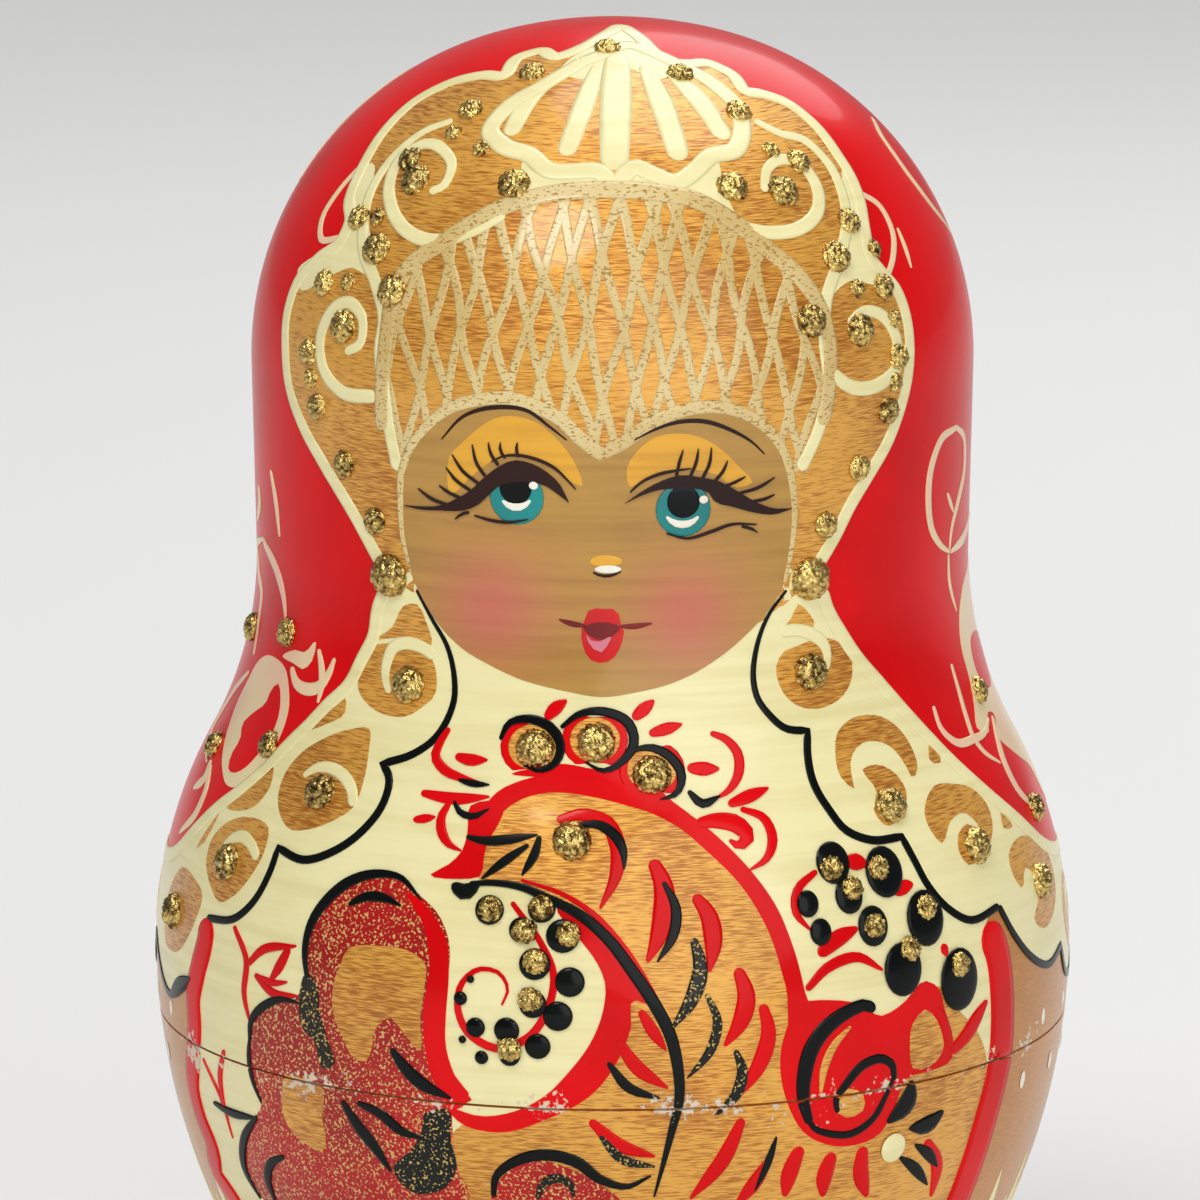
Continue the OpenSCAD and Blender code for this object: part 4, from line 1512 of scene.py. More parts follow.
    def pattern(self) -> Pattern:
        """Returns the collar and the ground beneath it as paint."""
        c, made = self.camera, Pattern("collar")
        top, foot = self.lace_back + self.ground_lap, c.profile.seam_height - self.ground_lap
        made.fill(Paint.OCHRE, 0, c.at(-180, top, 180, top, 180, top, 180, foot, 180, foot, -180, foot,
                                       -180, foot))
        left, right = self.scallops(self.left_cusp_deg), self.scallops(self.right_cusp_deg)
        back = c.at(180, self.lace_back)
        near, far = self.SIDE_TURNS_DEG
        lace_left = np.vstack([c.at(-180, self.lace_back, -far, self.lace_back, -near, self.lace_back),
                               c.px(*self.LACE_LEFT_PX)[::-1], c.px(*self.EAR_LEFT_PX)])
        lace_right = np.vstack([c.px(*self.EAR_RIGHT_PX, *self.LACE_RIGHT_PX),
                                c.at(near, self.lace_back, far, self.lace_back), back])
        border = Apron(c).border()
        chin = c.px(*self.EAR_LEFT_PX, *self.CHIN_PX, *self.EAR_RIGHT_PX)
        made.fill(Paint.CREAM, 1, np.vstack([
            lace_left, chin, lace_right, back, right[::-1], c.px(*self.SIDE_RIGHT_PX)[::-1], border[::-1],
            c.px(*self.SIDE_LEFT_PX), left, left[-1:]]))
        for lace in (lace_left, lace_right):
            made.line(Paint.CREAM, 3, self.lace_width, lace, (1.0, 1.0))
        self.fills(made, Paint.AMBER, 2, self.GOLD_PX)
        for curl in self.CURLS_PX:
            made.line(Paint.CREAM, 3, self.curl_width, c.px(*curl), (0.9, 0.5))
        for side in (left, right):
            for cusp in range(self.back_scallops):
                self.lappet(made, side[5 * cusp][0], side[5 * cusp + 3][0])
        for edge, side, rest in ((self.EDGE_LEFT_PX, self.SIDE_LEFT_PX, left),
                                 (self.EDGE_RIGHT_PX, self.SIDE_RIGHT_PX, right)):
            made.line(Paint.BLACK, 4, self.edge_width, c.px(*edge), (0.3, 0.9))
            made.line(Paint.BLACK, 4, self.edge_width, np.vstack([c.px(*side), rest]), (0.9, 0.9))
        return made

    def lappet(self, made: Pattern, cusp: float, middle: float) -> None:
        """Adds the gold filling and the curl of one scallop at the back.

        Args:
            made: Pattern to add them to.
            cusp: Angle at which the scallop starts.
            middle: Angle of its middle.
        """
        half = abs(math.degrees(middle - cusp)) * self.LAPPET_SHARE
        turn, mid = math.degrees(middle), self.lace_back - self.LAPPET_DROP
        shape, curl = (
            self.camera.at(*(value for share, up in drawn for value in (turn + share * half, mid + up)))
            for drawn in (self.LAPPET, self.BACK_CURL))
        made.fill(Paint.AMBER, 2, shape)
        made.line(Paint.CREAM, 3, self.back_curl_width, curl, (0.9, 0.4))


@dataclass
class Apron(Theme):
    """Red border of the apron, and the dotted skirt beside it."""

    border_width: float = 3.2
    right_width: float = 4.4
    skirt_dots: int = 22
    leaf_width: float = 1.7
    SEAM_DOTS, SEAM_DOT_MM = (71.0, 289.0, 52.6), (0.9, 1.7, 0.12)
    SKIRT_SPAN_DEG = (66.0, 294.0)
    WAIST_DOT_MM, HEM_DOT_MM, BUD_MM = (1.0, 1.9, 0.12), (1.3, 1.3, 0.12), (1.5, 1.5, 0.15)
    WAIST_HEIGHT, HEM_HEIGHT, HEM_SHIFT_DEG, BUD_HEIGHT = 47.0, 15.0, 5.2, 23.6
    LEAVES = ((-3.6, 33.5), (0.0, 37.5), (3.6, 33.5))
    LEAF_BEND, LEAF_BEND_HEIGHT, LEAF_FOOT = 0.75, 29.5, 25.0
    FOOT_RINGS = ((Paint.SCARLET, 2, 3.0, 4.2), (Paint.BLACK, 3, 0.7, 6.3))
    LEFT_PX = (208, 918, 206, 939, 199, 968, 194, 996, 195, 1021, 194, 1054, 194, 1086, 202, 1118,
        213, 1146, 217, 1171, 233, 1196)
    FOOT_DEG = (-55, 26, -46, 18, -30, 11, 0, 8, 30, 11, 45, 18, 52, 28)
    RIGHT_PX = (989, 1104, 999, 1061, 1002, 1018, 1001, 985, 996, 950, 985, 925)

    def border(self) -> np.ndarray:
        """Returns the edge of the apron, from the left of the collar round its foot to the right."""
        c = self.camera
        return np.vstack([c.px(*self.LEFT_PX), c.at(*self.FOOT_DEG), c.px(*self.RIGHT_PX)])

    def pattern(self) -> Pattern:
        """Returns the border and the skirt's dots as paint."""
        c, made = self.camera, Pattern("apron")
        left = np.vstack([c.px(*self.LEFT_PX), c.at(*self.FOOT_DEG)])
        right = np.vstack([c.at(*self.FOOT_DEG[-4:]), c.px(*self.RIGHT_PX)])
        made.line(Paint.SCARLET, 4, self.border_width, left, (1.0, 1.0))
        made.line(Paint.SCARLET, 4, self.right_width, right, (0.7, 0.9))
        begin, end, height = self.SEAM_DOTS
        for turn in np.linspace(begin, end, self.skirt_dots):
            made.dot(Paint.WHITE, 1, c.at(turn if turn <= 180 else turn - 360, height), self.SEAM_DOT_MM)
        for turn in np.linspace(*self.SKIRT_SPAN_DEG, self.skirt_dots):
            angle = turn if turn <= 180 else turn - 360
            made.dot(Paint.WHITE, 1, c.at(angle, self.WAIST_HEIGHT), self.WAIST_DOT_MM)
            made.dot(Paint.WHITE, 1, c.at(angle + self.HEM_SHIFT_DEG, self.HEM_HEIGHT), self.HEM_DOT_MM)
            for lean, top in self.LEAVES:
                leaf = c.at(angle + lean, top, angle + self.LEAF_BEND * lean, self.LEAF_BEND_HEIGHT,
                            angle, self.LEAF_FOOT)
                made.line(Paint.CREAM, 1, self.leaf_width, leaf, (0.1, 0.2))
            made.dot(Paint.SCARLET, 2, c.at(angle, self.BUD_HEIGHT), self.BUD_MM)
        for paint, layer, width, height in self.FOOT_RINGS:
            ring = c.at(*(value for turn in (-180, -90, 0, 90, 180) for value in (turn, height)))
            made.line(paint, layer, width, ring, (1.0, 1.0))
        return made


@dataclass
class Scarf(Theme):
    """Cream scrolls on the red scarf, at the sides and on the back."""

    LINES_PX = ((1.2, 259, 485, 260, 502, 258, 520), (0.9, 271, 470, 276, 500, 280, 537), (1.0, 249, 672,
        231, 696, 214, 726, 207, 762), (1.0, 254, 655, 259, 620, 262, 593, 259, 570, 258, 550, 264, 538),
        (1.3, 264, 540, 277, 570, 284, 597, 286, 618), (1.3, 292, 667, 296, 682, 306, 689, 319, 687,
        329, 674, 335, 658), (0.9, 319, 649, 322, 668, 322, 686, 318, 703), (1.3, 211, 760, 206, 776,
        194, 788), (1.2, 211, 765, 206, 790, 198, 810, 180, 833), (1.1, 956, 427, 940, 441, 930, 472,
        928, 502, 931, 528, 940, 545, 949, 552), (1.0, 956, 427, 964, 441, 964, 466, 958, 499, 951, 530,
        949, 550), (1.1, 969, 512, 964, 535, 950, 552), (0.6, 947, 493, 950, 503, 953, 512),
        (0.6, 948, 554, 949, 582, 956, 611), (0.9, 933, 706, 941, 729, 955, 742, 973, 739, 985, 731,
        988, 718), (0.8, 951, 664, 958, 689, 966, 717, 973, 737, 982, 750, 1000, 763), (1.2, 992, 716,
        997, 738, 1004, 762, 1016, 787, 1034, 808), (1.4, 300, 180, 330, 130, 365, 95, 400, 68),
        (1.0, 872, 118, 884, 140, 905, 170, 925, 197, 950, 232), (0.6, 897, 228, 905, 248, 911, 268))
    FILLS_PX = ((256, 665, 265, 656, 276, 658, 286, 670, 289, 690, 289, 707, 284, 727, 276, 745, 265, 762,
        251, 775, 237, 787, 227, 785, 223, 771, 223, 753, 228, 730, 237, 704, 249, 679), (283, 656,
        295, 650, 306, 652, 316, 641, 312, 661, 304, 669, 295, 664), (968, 559, 961, 594, 959, 619,
        961, 646, 969, 677, 974, 704, 977, 728, 988, 733, 987, 713, 994, 714, 999, 738, 1009, 748,
        1020, 757, 1031, 768, 1038, 782, 1046, 800, 1046, 800, 1030, 747, 1020, 726, 1006, 698, 993, 665,
        981, 634, 975, 600))
    HOLES_PX = ((279, 684, 281, 700, 278, 720, 272, 734, 258, 755, 244, 769, 235, 773, 229, 769, 232, 755,
        241, 739, 243, 725, 254, 713, 267, 702, 272, 690), (970, 640, 981, 643, 990, 681, 982, 683,
        973, 661))
    BLOSSOMS_DEG = ((180, 92, 1.0), (125, 84, 0.8), (-125, 84, 0.8), (180, 122, 0.7))
    petals: int = 6
    VEIN_MM, VEIN_WIDTH, HEART_MM = (2.2, 3.4, 4.8), 0.5, (3.0, 3.0)
    heart_rise: float = 0.3
    SPRAYS_MM = ((Paint.CREAM, 1.2, (5, 6, 9, 11, 14, 10, 16, 5, 13, 2, 10.5, 4.5, 12.5, 6.5), (0.4, 0.3)),
                 (Paint.THIN, 2.2, (8, 9.5, 9.5, 14, 13, 16.5), (0.2, 0.1)),
                 (Paint.THIN, 2.0, (6, 0.5, 9, -1.5, 12.5, -1), (0.2, 0.1)),
                 (Paint.CREAM, 1.0, (4, -7, 7, -11, 12, -11, 13, -7, 10.5, -6), (0.4, 0.2)))
    PETAL_MM = ((1.2, 0.0), (2.6, 1.5), (4.8, 2.0), (6.4, 1.2), (6.0, 0.0), (6.4, -1.2), (4.8, -2.0),
        (2.6, -1.5))

    def pattern(self) -> Pattern:
        """Returns the scrolls as paint."""
        made = Pattern("scarf")
        self.strokes(made, Paint.THIN, 2, self.LINES_PX, (0.5, 0.3))
        self.fills(made, Paint.THIN, 1, self.FILLS_PX)
        self.fills(made, Paint.SCARLET, 2, self.HOLES_PX)
        for turn, height, size in self.BLOSSOMS_DEG:
            self.blossom(made, turn, height, size)
        return made

    def blossom(self, made: Pattern, turn: float, height: float, size: float) -> None:
        """Adds a flower with two scrolled stems.

        Args:
            made: Pattern to add it to.
            turn: Degrees of its middle.
            height: Height of its middle.
            size: Its size, as a share of the largest.
        """
        middle = self.camera.at(turn, height)[0]
        spread = size / MEAN_RADIUS

        def near(*flat: float, side: int = 1) -> np.ndarray:
            """Places around the flower's middle, from millimetres across and down."""
            return middle + np.array(flat, float).reshape(-1, 2) * (side * spread, size)

        for petal in range(self.petals):
            way = 2 * math.pi * petal / self.petals
            x, y = math.sin(way), math.cos(way)
            made.fill(Paint.THIN, 2, near(*(value for out, side in self.PETAL_MM for value in
                                            (out * x + side * y, out * y - side * x))))
            vein = near(*(value for out in self.VEIN_MM for value in (out * x, out * y)))
            made.line(Paint.SCARLET, 3, self.VEIN_WIDTH * size, vein, (0.5, 0.1))
        across, up = self.HEART_MM
        made.dot(Paint.AMBER, 4, near(0, 0), (across * size, up * size, self.heart_rise))
        for side in (-1, 1):
            for paint, width, path, ends in self.SPRAYS_MM:
                made.line(paint, 2, width * size, near(*path, side=side), ends)


@dataclass
class Bird(Theme):
    """Bird on the apron: crest, head, breast, wing and tail."""

    BODY_PX = (476, 846, 486, 822, 500, 812, 521, 798, 549, 793, 591, 795, 633, 806, 680, 829, 715, 858,
        745, 890, 768, 922, 783, 957, 796, 1000, 802, 1060, 812, 1110, 860, 1125, 900, 1090, 914, 1050,
        910, 1010, 925, 990, 941, 986, 958, 1010, 977, 1032, 986, 1062, 982, 1100, 972, 1140, 955, 1196)
    TAIL_DEG = (44, 29, 31, 19, 14, 13, -1, 13, -8, 17)
    BREAST_PX = (472, 1205, 458, 1168, 454, 1132, 470, 1121, 510, 1120, 548, 1106, 580, 1082, 601, 1055,
        612, 1030, 619, 1005, 620, 985, 605, 941, 577, 913, 549, 899, 521, 886, 495, 884, 480, 880)
    CAP_PX = (470, 832, 481, 812, 498, 792, 521, 781, 549, 775, 591, 777, 633, 784, 661, 798, 690, 815,
        715, 835, 748, 868, 775, 905, 792, 945, 804, 990, 812, 1040, 800, 1045, 785, 985, 765, 925,
        740, 885, 705, 850, 680, 829, 655, 815, 627, 806, 591, 797, 549, 793, 521, 800, 501, 815,
        493, 832)
    RED_PX = ((471, 806, 505, 804, 498, 826, 488, 842, 484, 860, 481, 876, 462, 879, 431, 875, 450, 864,
        462, 852, 468, 832), (512, 774, 535, 768, 560, 764, 600, 770, 640, 768, 668, 798, 690, 815,
        633, 786, 549, 778), (557, 908, 581, 941, 596, 961, 605, 983, 603, 1011, 591, 1042, 568, 1073,
        546, 1095, 521, 1109, 480, 1116, 448, 1108, 460, 1122, 497, 1132, 549, 1118, 591, 1095, 619, 1058,
        631, 1027, 634, 1000, 650, 1005, 633, 977, 605, 941, 577, 913), (420, 899, 436, 918, 447, 941,
        449, 975, 446, 1017, 446, 1045, 455, 1075, 470, 1098, 455, 1110, 436, 1085, 426, 1050, 424, 1010,
        430, 960, 424, 925, 408, 892))
    FLOWER_PX = (305, 975, 307, 946, 314, 921, 327, 899, 350, 879, 376, 872, 397, 875, 421, 896, 437, 912,
        448, 936, 448, 984, 444, 1028, 448, 1062, 459, 1084, 472, 1100, 456, 1108, 454, 1140, 458, 1168,
        468, 1187, 472, 1205)
    FLOWER_FOOT_DEG = (-13, 23, -22, 19, -33, 20, -41, 24)
    FLOWER_SIDE_PX = (265, 1200, 249, 1174, 244, 1151, 245, 1130, 258, 1114, 263, 1101, 254, 1080,
        250, 1055, 251, 1033, 258, 1015, 276, 1002, 296, 999)
    GOLD_PX = ((350, 948, 381, 946, 414, 953, 425, 962, 425, 988, 421, 1017, 420, 1051, 405, 1033,
        390, 1017, 376, 1029, 372, 1051, 365, 1062, 354, 1057, 345, 1040, 334, 1011, 334, 988, 341, 966),
        (287, 1075, 305, 1078, 323, 1087, 323, 1118, 327, 1140, 323, 1151, 305, 1142, 289, 1125,
        283, 1095))
    DUSTED_PX = ((425, 1113, 448, 1109, 451, 1140, 457, 1167, 443, 1189, 414, 1192, 394, 1169, 414, 1147,
        423, 1129), (308, 972, 318, 985, 320, 1010, 327, 1036, 334, 1066, 324, 1068, 315, 1040, 305, 1030,
        300, 1005))
    HEART_PX = (492, 1212, 500, 1180, 515, 1165, 537, 1159, 564, 1166, 600, 1184, 624, 1206, 600, 1228,
        560, 1238, 520, 1232)
    RED_LINES_PX = ((1.0, 450, 728, 441, 742, 436, 756, 445, 770, 462, 778, 484, 784), (1.2, 456, 756,
        470, 760, 488, 760), (1.2, 422, 793, 455, 799, 490, 797), (0.9, 414, 820, 425, 819, 436, 817),
        (1.0, 450, 803, 442, 817, 442, 831, 450, 845, 462, 851), (1.3, 546, 719, 555, 709, 567, 700),
        (1.3, 633, 719, 644, 709, 654, 700), (1.2, 649, 734, 666, 729, 682, 724), (1.0, 710, 733,
        725, 739, 737, 753, 738, 774, 728, 791, 713, 800), (1.4, 687, 768, 703, 769, 719, 769),
        (1.3, 728, 805, 750, 796, 768, 788), (1.0, 740, 809, 763, 818, 772, 838, 766, 859, 748, 871),
        (1.8, 696, 824, 716, 821, 737, 825, 747, 837, 738, 846, 729, 840), (2.2, 652, 860, 663, 885,
        664, 912, 657, 940, 647, 962), (1.9, 694, 895, 708, 915, 713, 940, 709, 972), (1.9, 737, 968,
        746, 998, 740, 1022, 724, 1046), (1.7, 762, 1004, 768, 1032, 758, 1066, 736, 1098),
        (1.6, 557, 821, 582, 815, 606, 823, 617, 843, 616, 874, 600, 909), (1.4, 618, 1040, 638, 1068,
        668, 1088), (1.2, 640, 1010, 652, 1030, 666, 1050), (1.4, 590, 1120, 620, 1145, 655, 1156),
        (1.6, 742, 1118, 722, 1160, 690, 1198), (1.5, 768, 1160, 752, 1185, 735, 1205), (0.6, 521, 880,
        560, 893, 591, 912, 622, 945, 645, 978, 668, 1018))
    BLACK_LINES_PX = ((1.0, 501, 740, 509, 724, 529, 719, 551, 728, 561, 747, 554, 765, 537, 771,
        524, 765), (1.0, 561, 728, 580, 714, 606, 712, 629, 724, 634, 742, 624, 760, 603, 771, 585, 762),
        (1.0, 632, 750, 652, 748, 672, 759, 681, 775, 676, 794, 660, 800), (0.7, 459, 780, 474, 784,
        490, 785), (0.7, 455, 801, 460, 812, 473, 817, 490, 809), (1.0, 467, 837, 484, 841, 507, 840,
        538, 835), (0.9, 540, 836, 535, 854, 522, 876), (0.9, 529, 845, 507, 860, 482, 879),
        (1.6, 453, 884, 464, 892, 480, 884), (1.25, 470, 884, 492, 883, 521, 887, 549, 899, 577, 913,
        605, 936, 633, 972, 655, 1005, 669, 1032, 678, 1070, 679, 1100, 672, 1129, 661, 1171, 654, 1196),
        (1.1, 308, 978, 306, 950, 313, 922, 330, 898, 352, 881, 378, 874, 400, 877, 422, 900),
        (0.9, 251, 1040, 252, 1022, 266, 1005, 284, 999, 300, 1003), (0.6, 251, 1036, 250, 1055,
        254, 1080, 263, 1103), (0.9, 215, 1102, 232, 1112, 258, 1118), (1.1, 285, 1156, 272, 1163,
        269, 1178, 278, 1204), (1.1, 258, 1116, 245, 1140, 246, 1168, 262, 1198), (1.1, 579, 825,
        598, 825, 614, 835, 623, 851, 624, 870), (1.1, 663, 882, 675, 906, 672, 938, 657, 962),
        (0.9, 688, 791, 702, 804, 720, 796), (1.2, 494, 1196, 497, 1175, 515, 1161, 544, 1154, 576, 1161,
        601, 1179, 626, 1186, 651, 1175), (1.0, 608, 1062, 630, 1088, 660, 1098), (1.0, 350, 905,
        366, 897, 385, 898, 402, 906), (1.3, 343, 1100, 358, 1124, 376, 1147, 392, 1171), (1.1, 358, 1102,
        381, 1113, 403, 1131, 426, 1138), (1.4, 392, 1048, 403, 1064, 421, 1082, 452, 1098))
    DUSTED_LINES_PX = ((1.6, 693, 938, 700, 968, 691, 1000, 672, 1028), (1.0, 706, 994, 717, 1020,
        710, 1050, 687, 1078), (1.2, 735, 1050, 742, 1070, 735, 1095, 715, 1115), (1.0, 600, 1135,
        625, 1160, 655, 1166), (1.0, 538, 1198, 543, 1184, 556, 1177, 570, 1183, 574, 1197))
    RINGS_PX, RING_MM, RING_EDGE_MM = (533, 747, 595, 740, 652, 770), (4.9, 4.4, 0.05), (6.4, 5.8, 0.05)
    plume_width: float = 2.6
    plume_shade: float = 0.9
    SHADE_SHIFT_DEG, SHADE_SHIFT_MM = 2.2, 0.6
    PLUMES_DEG = ((-2, 26, -4, 21, -3, 15), (4, 28, 3, 22, 4, 15), (10, 30, 11, 24, 12, 16), (16, 33,
        18, 26, 19, 19), (22, 37, 25, 30, 27, 23), (29, 39, 33, 33, 35, 27))

    def pattern(self) -> Pattern:
        """Returns the bird as paint."""
        c, made = self.camera, Pattern("bird")
        body = np.vstack([c.px(*self.BODY_PX), c.at(*self.TAIL_DEG), c.px(*self.BREAST_PX)])
        made.fill(Paint.AMBER, 3, body)
        self.fills(made, Paint.SCARLET, 4, (self.CAP_PX, *self.RED_PX))
        flower = np.vstack([c.px(*self.FLOWER_PX), c.at(*self.FLOWER_FOOT_DEG), c.px(*self.FLOWER_SIDE_PX)])
        made.fill(Paint.GLITTER, 3, flower)
        self.fills(made, Paint.DUSTED, 5, self.DUSTED_PX)
        made.fill(Paint.GLITTER, 5, c.px(*self.HEART_PX))
        self.fills(made, Paint.AMBER, 5, self.GOLD_PX)
        made.dot(Paint.AMBER, 4, c.px(*self.RINGS_PX), self.RING_MM)
        made.dot(Paint.SCARLET, 3, c.px(*self.RINGS_PX), self.RING_EDGE_MM)
        self.strokes(made, Paint.SCARLET, 6, self.RED_LINES_PX, (0.5, 0.15))
        self.strokes(made, Paint.BLACK, 7, self.BLACK_LINES_PX, (0.4, 0.15))
        self.strokes(made, Paint.DUSTED, 7, self.DUSTED_LINES_PX, (0.4, 0.15))
        for plume in self.PLUMES_DEG:
            path = c.at(*plume)
            made.line(Paint.SCARLET, 6, self.plume_width, path, (0.2, 0.3))
            shifted = path + (math.radians(self.SHADE_SHIFT_DEG), self.SHADE_SHIFT_MM)
            made.line(Paint.BLACK, 7, self.plume_shade, shifted, (0.2, 0.2))
        return made


@dataclass
class Garden(Theme):
    """Berries, stems and scrolls around the bird."""

    px_mm: float = 0.097
    berry_rise: float = 0.35
    right_stretch: float = 1.15
    gleam_width: float = 0.9
    GLEAM_PX = (850, 1026, 834, 1044, 824, 1066, 820, 1092)
    BUD_PX, BUD_MM = (892, 1147), (3.0, 3.1, 0.2)
    LEFT_BERRIES_PX = (490, 910, 15, 542, 909, 14, 522, 930, 13, 563, 936, 17, 535, 964, 16, 570, 982, 15,
        533, 1004, 14, 558, 1016, 15, 476, 1027, 10, 507, 1030, 13, 538, 1046, 13, 510, 1055, 11,
        482, 1057, 7, 461, 998, 7, 471, 979, 4, 463, 1039, 4)
    RIGHT_BERRIES_PX = (832, 863, 19, 883, 872, 23, 848, 896, 16, 807, 904, 12, 820, 932, 12,
        872, 926, 18, 924, 918, 25, 902, 969, 24, 958, 979, 28)
    STEMS_PX = ((0.8, 512, 902, 540, 941, 553, 970, 547, 1011, 526, 1039, 497, 1048, 470, 1034, 458, 1007,
        463, 982, 480, 969, 498, 972, 508, 989, 502, 1005), (0.9, 816, 871, 797, 890, 796, 914, 810, 930),
        (1.7, 845, 862, 856, 862, 866, 864), (1.7, 818, 955, 838, 938, 857, 928), (1.5, 893, 893,
        905, 886, 912, 884), (1.1, 806, 990, 828, 967, 856, 957, 882, 970), (1.0, 942, 944, 944, 950,
        946, 956), (1.8, 950, 1052, 966, 1034, 978, 1014, 986, 1000), (1.1, 936, 1008, 944, 1024,
        948, 1046), (1.8, 800, 1146, 790, 1170, 784, 1196), (1.8, 832, 1152, 824, 1175, 822, 1196),
        (1.8, 862, 1146, 860, 1172, 866, 1196), (1.6, 925, 1140, 936, 1165, 930, 1196), (0.8, 235, 926,
        247, 959, 245, 995, 252, 1026), (0.9, 249, 964, 263, 950, 297, 946), (1.1, 290, 948, 278, 970,
        271, 980), (0.7, 258, 976, 276, 983, 288, 982), (0.9, 256, 974, 274, 993, 298, 996),
        (0.5, 204, 1058, 222, 1098, 234, 1138), (0.8, 225, 1050, 221, 1078, 226, 1108))
    SCROLL_PX = ((1.7, 874, 1010, 866, 1005, 848, 1011, 829, 1024, 813, 1044, 804, 1073, 803, 1101,
        809, 1123), (0.8, 806, 1116, 814, 1128, 828, 1133, 851, 1133, 872, 1118, 884, 1097, 893, 1076),
        (1.0, 893, 1080, 891, 1064, 879, 1058, 863, 1064, 846, 1083, 835, 1101, 837, 1112))
    RED_PX = ((800, 1004, 830, 1000, 862, 1005, 880, 1016, 894, 1010, 906, 1000, 924, 981, 936, 986,
        944, 1010, 952, 1040, 950, 1060, 930, 1070, 906, 1078, 892, 1112, 878, 1134, 842, 1146, 808, 1136,
        786, 1100, 784, 1035),)
    GOLD_PX = ((848, 1088, 862, 1094, 862, 1110, 848, 1117, 835, 1110, 835, 1094), (924, 1009, 912, 1023,
        909, 1049, 912, 1068, 929, 1066, 942, 1049, 940, 1031, 933, 1016))
    LEAVES_PX = ((2.2, 911, 1080, 906, 1102, 886, 1122), (1.9, 942, 1110, 930, 1122, 908, 1128),
        (1.2, 914, 1144, 926, 1152, 936, 1166), (1.2, 898, 1156, 912, 1166, 926, 1184), (1.6, 172, 996,
        180, 985, 192, 978), (0.8, 776, 1136, 768, 1160, 754, 1190))

    def pattern(self) -> Pattern:
        """Returns the garden as paint."""
        c, made = self.camera, Pattern("garden")
        self.fills(made, Paint.SCARLET, 4, self.RED_PX)
        self.fills(made, Paint.AMBER, 5, self.GOLD_PX)
        made.line(Paint.AMBER, 5, self.gleam_width, c.px(*self.GLEAM_PX), (0.3, 0.3))
        self.strokes(made, Paint.BLACK, 6, self.SCROLL_PX, (0.6, 0.5))
        self.strokes(made, Paint.SCARLET, 5, self.STEMS_PX, (0.6, 0.25))
        self.strokes(made, Paint.BLACK, 7, self.LEAVES_PX, (0.2, 0.15))
        made.dot(Paint.CREAM, 7, c.px(*self.BUD_PX), self.BUD_MM)
        for berries, stretch in ((self.LEFT_BERRIES_PX, 1.0), (self.RIGHT_BERRIES_PX, self.right_stretch)):
            for across, down, radius in np.array(berries, float).reshape(-1, 3):
                size = 2 * radius * self.px_mm
                made.dot(Paint.BLACK, 6, c.px(across, down), (size, size * stretch, self.berry_rise))
        return made


@dataclass
class GiltBeads:
    """Gilded drops of paste that stand in for the plain domes of the frame."""

    profile: TurnedProfile
    fullness: float = 0.34
    crinkle: float = 0.9
    facets: int = 5
    berry_lift: float = 0.35
    NODES = (("headdress_border_beads", 2.6), ("headdress_scroll_beads", 3.2), ("headdress_seed_beads", 1.8),
             ("earring_beads", 4.2), ("collar_beads", 3.6), ("scarf_beads", 2.8), ("bird_crest_beads", 3.8),
             ("berry_beads", 2.4))

    def build(self) -> None:
        """Builds a crinkled drop over each dome."""
        for node, diameter in self.NODES:
            rise = self.fullness * diameter
            middles = self.middles(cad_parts[node]) / MM
            angles = np.arctan2(middles[:, 0], -middles[:, 1])
            along = self.profile.along_at(middles[:, 2])
            up = np.interp(along, self.profile.along, self.profile.leans[:, 1])
            places = np.stack([angles, self.profile.along_at(middles[:, 2] - rise / 2 * up)], 1)
            spots, normals = self.profile.points(places, self.berry_lift if node == "berry_beads" else 0.0)
            sizes = np.tile((diameter * MM, diameter * MM, rise * MM), (len(places), 1))
            piece = drop_mesh(spots * MM, normals, sizes, Paint.GILT, self.facets, self.crinkle * MM,
                              np.abs(places[:, 1] - self.profile.seam))
            piece.name = piece.data.name = f"gilded_{node}"
            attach(piece, "first_doll_top")
            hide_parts(node)
            LOG.info("%s: %d drops", piece.name, len(places))

    @staticmethod
    def middles(node: Object) -> np.ndarray:
        """Finds the middle of each dome in a node.

        Args:
            node: The node's object.

        Returns:
            The domes' middles, in metres.
        """
        work = bmesh.new()
        work.from_mesh(node.data)
        bmesh.ops.remove_doubles(work, verts=work.verts, dist=1e-6)
        left, found = set(work.verts), []
        while left:
            queue = [left.pop()]
            corners = []
            while queue:
                vertex = queue.pop()
                corners.append(vertex.co[:])
                fresh = {edge.other_vert(vertex) for edge in vertex.link_edges} & left
                left -= fresh
                queue += fresh
            corners = np.array(corners)
            found.append((corners.min(0) + corners.max(0)) / 2)
        work.free()
        return np.array(sorted(found, key=lambda spot: tuple(spot)))


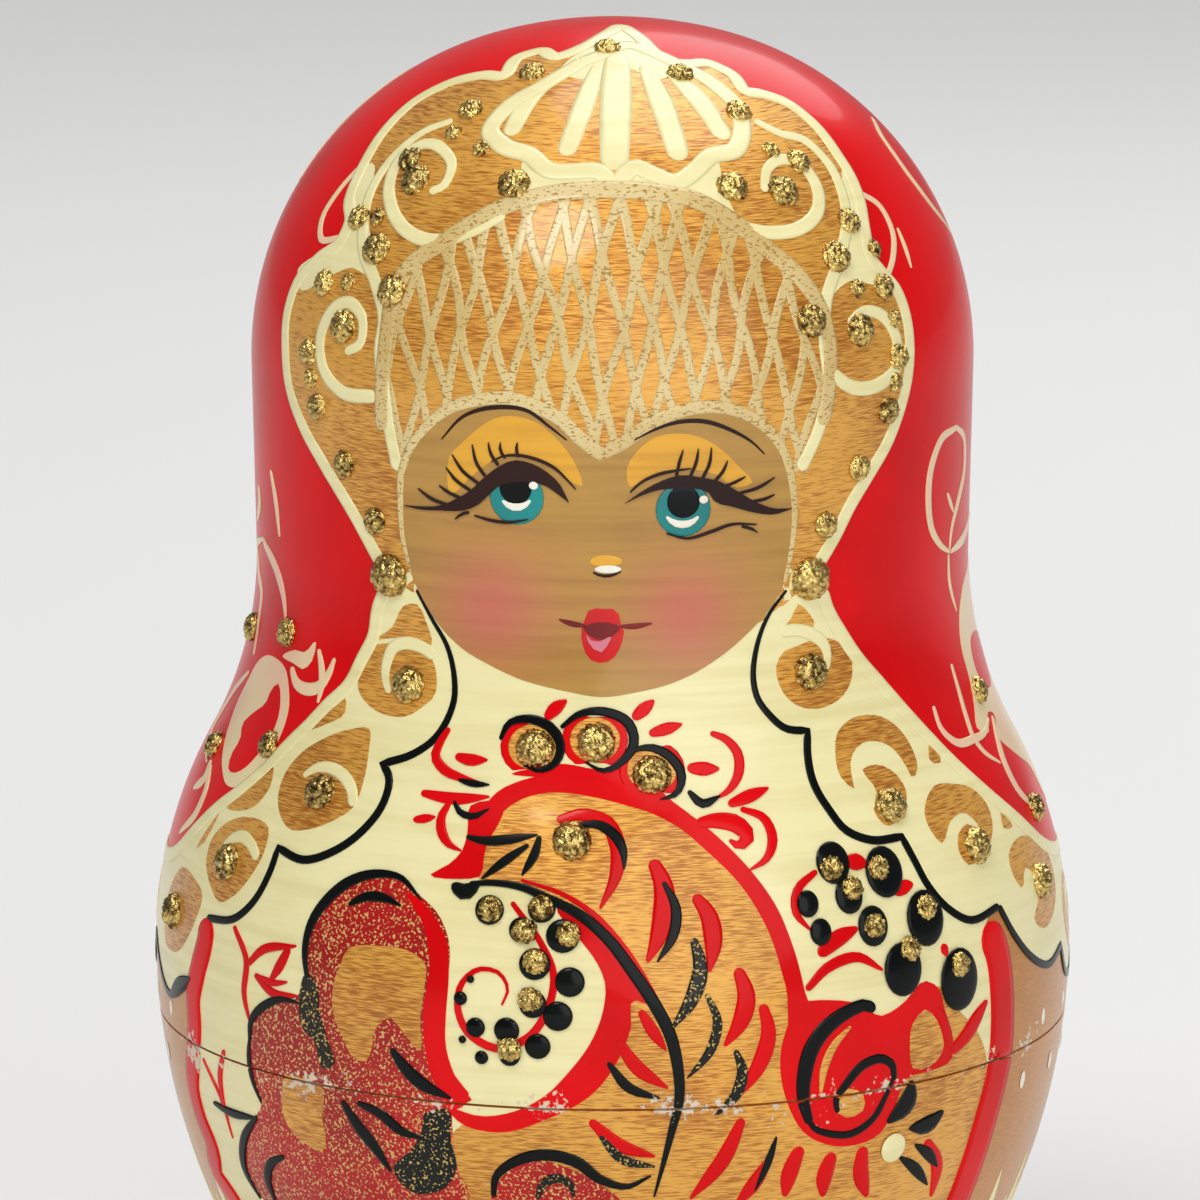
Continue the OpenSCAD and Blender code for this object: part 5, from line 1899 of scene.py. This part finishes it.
@dataclass
class Studio:
    """Pale floor and plain soft light."""

    floor_mm: float = 6000.0
    sky_light: float = 0.26
    sky_seen: float = 0.62
    sun_strength: float = 1.3
    FLOOR_COLOUR, FLOOR_ROUGHNESS = (0.78, 0.78, 0.77, 1.0), 0.7
    LAMPS = (("key_light", (-0.3, -0.75, 1.1), 0.5, 6.3), ("fill_light", (0.55, -1.3, 0.5), 1.4, 9.0),
             ("rim_light", (0.2, 0.8, 0.7), 0.6, 2.0))
    AIM = (0.0, 0.0, 0.08)
    SUN_WIDTH_DEG, SUN_TILT_DEG = 40, (-18, 8, 0)

    def build(self) -> None:
        """Adds the floor, the lamps and the world's light."""
        half = self.floor_mm * MM / 2
        mesh = bpy.data.meshes.new("floor")
        corners = [(-half, -half, 0), (half, -half, 0), (half, half, 0), (-half, half, 0)]
        mesh.from_pydata(corners, [], [(0, 1, 2, 3)])
        pale = bpy.data.materials.new("pale_floor")
        pale.use_nodes = True
        shader = next(n for n in pale.node_tree.nodes if n.type == "BSDF_PRINCIPLED")
        shader.inputs["Base Color"].default_value = self.FLOOR_COLOUR
        shader.inputs["Roughness"].default_value = self.FLOOR_ROUGHNESS
        mesh.materials.append(pale)
        linked("floor", mesh)
        for name, place, size, power in self.LAMPS:
            data = bpy.data.lights.new(name, "AREA")
            data.shape, data.size, data.energy = "DISK", size, power
            lamp = linked(name, data)
            lamp.location = place
            lamp.rotation_euler = (Vector(self.AIM) - lamp.location).to_track_quat("-Z", "Y").to_euler()
        sun = bpy.data.lights.new("overhead_light", "SUN")
        sun.energy, sun.angle = self.sun_strength, math.radians(self.SUN_WIDTH_DEG)
        overhead = linked("overhead_light", sun)
        overhead.rotation_euler = [math.radians(tilt) for tilt in self.SUN_TILT_DEG]
        world = bpy.data.worlds.new("studio")
        world.use_nodes = True
        sky = next(n for n in world.node_tree.nodes if n.type == "BACKGROUND")
        sky.inputs["Color"].default_value = (1.0, 1.0, 1.0, 1.0)
        wiring = Wiring(world.node_tree)
        seen = wiring.node("ShaderNodeLightPath").outputs["Is Camera Ray"]
        level = wiring.node("ShaderNodeMapRange", {0: seen, 3: self.sky_light, 4: self.sky_seen}).outputs[0]
        wiring.tree.links.new(level, sky.inputs["Strength"])
        bpy.context.scene.world = world
        bpy.context.scene.view_settings.view_transform = "Standard"


def main() -> None:
    """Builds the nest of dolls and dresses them."""
    profile = TurnedProfile()
    camera = PhotoCamera(profile)
    camera.place()
    Studio().build()
    themes = (Headdress, Visage, Collar, Apron, Scarf, Bird, Garden)
    patterns = [theme(camera).pattern() for theme in themes]
    dolls = [NestedDoll(profile, level) for level in range(len(LEVELS))]
    dolls.append(NestedDoll(profile, len(LEVELS), parts=False))
    for doll in dolls:
        for half in doll.halves():
            doll.turn_half(half)
        for pattern in patterns:
            doll.paint(pattern)
    GiltBeads(profile).build()
    BrushTrees.clear()


if __name__ == "__main__":
    main()
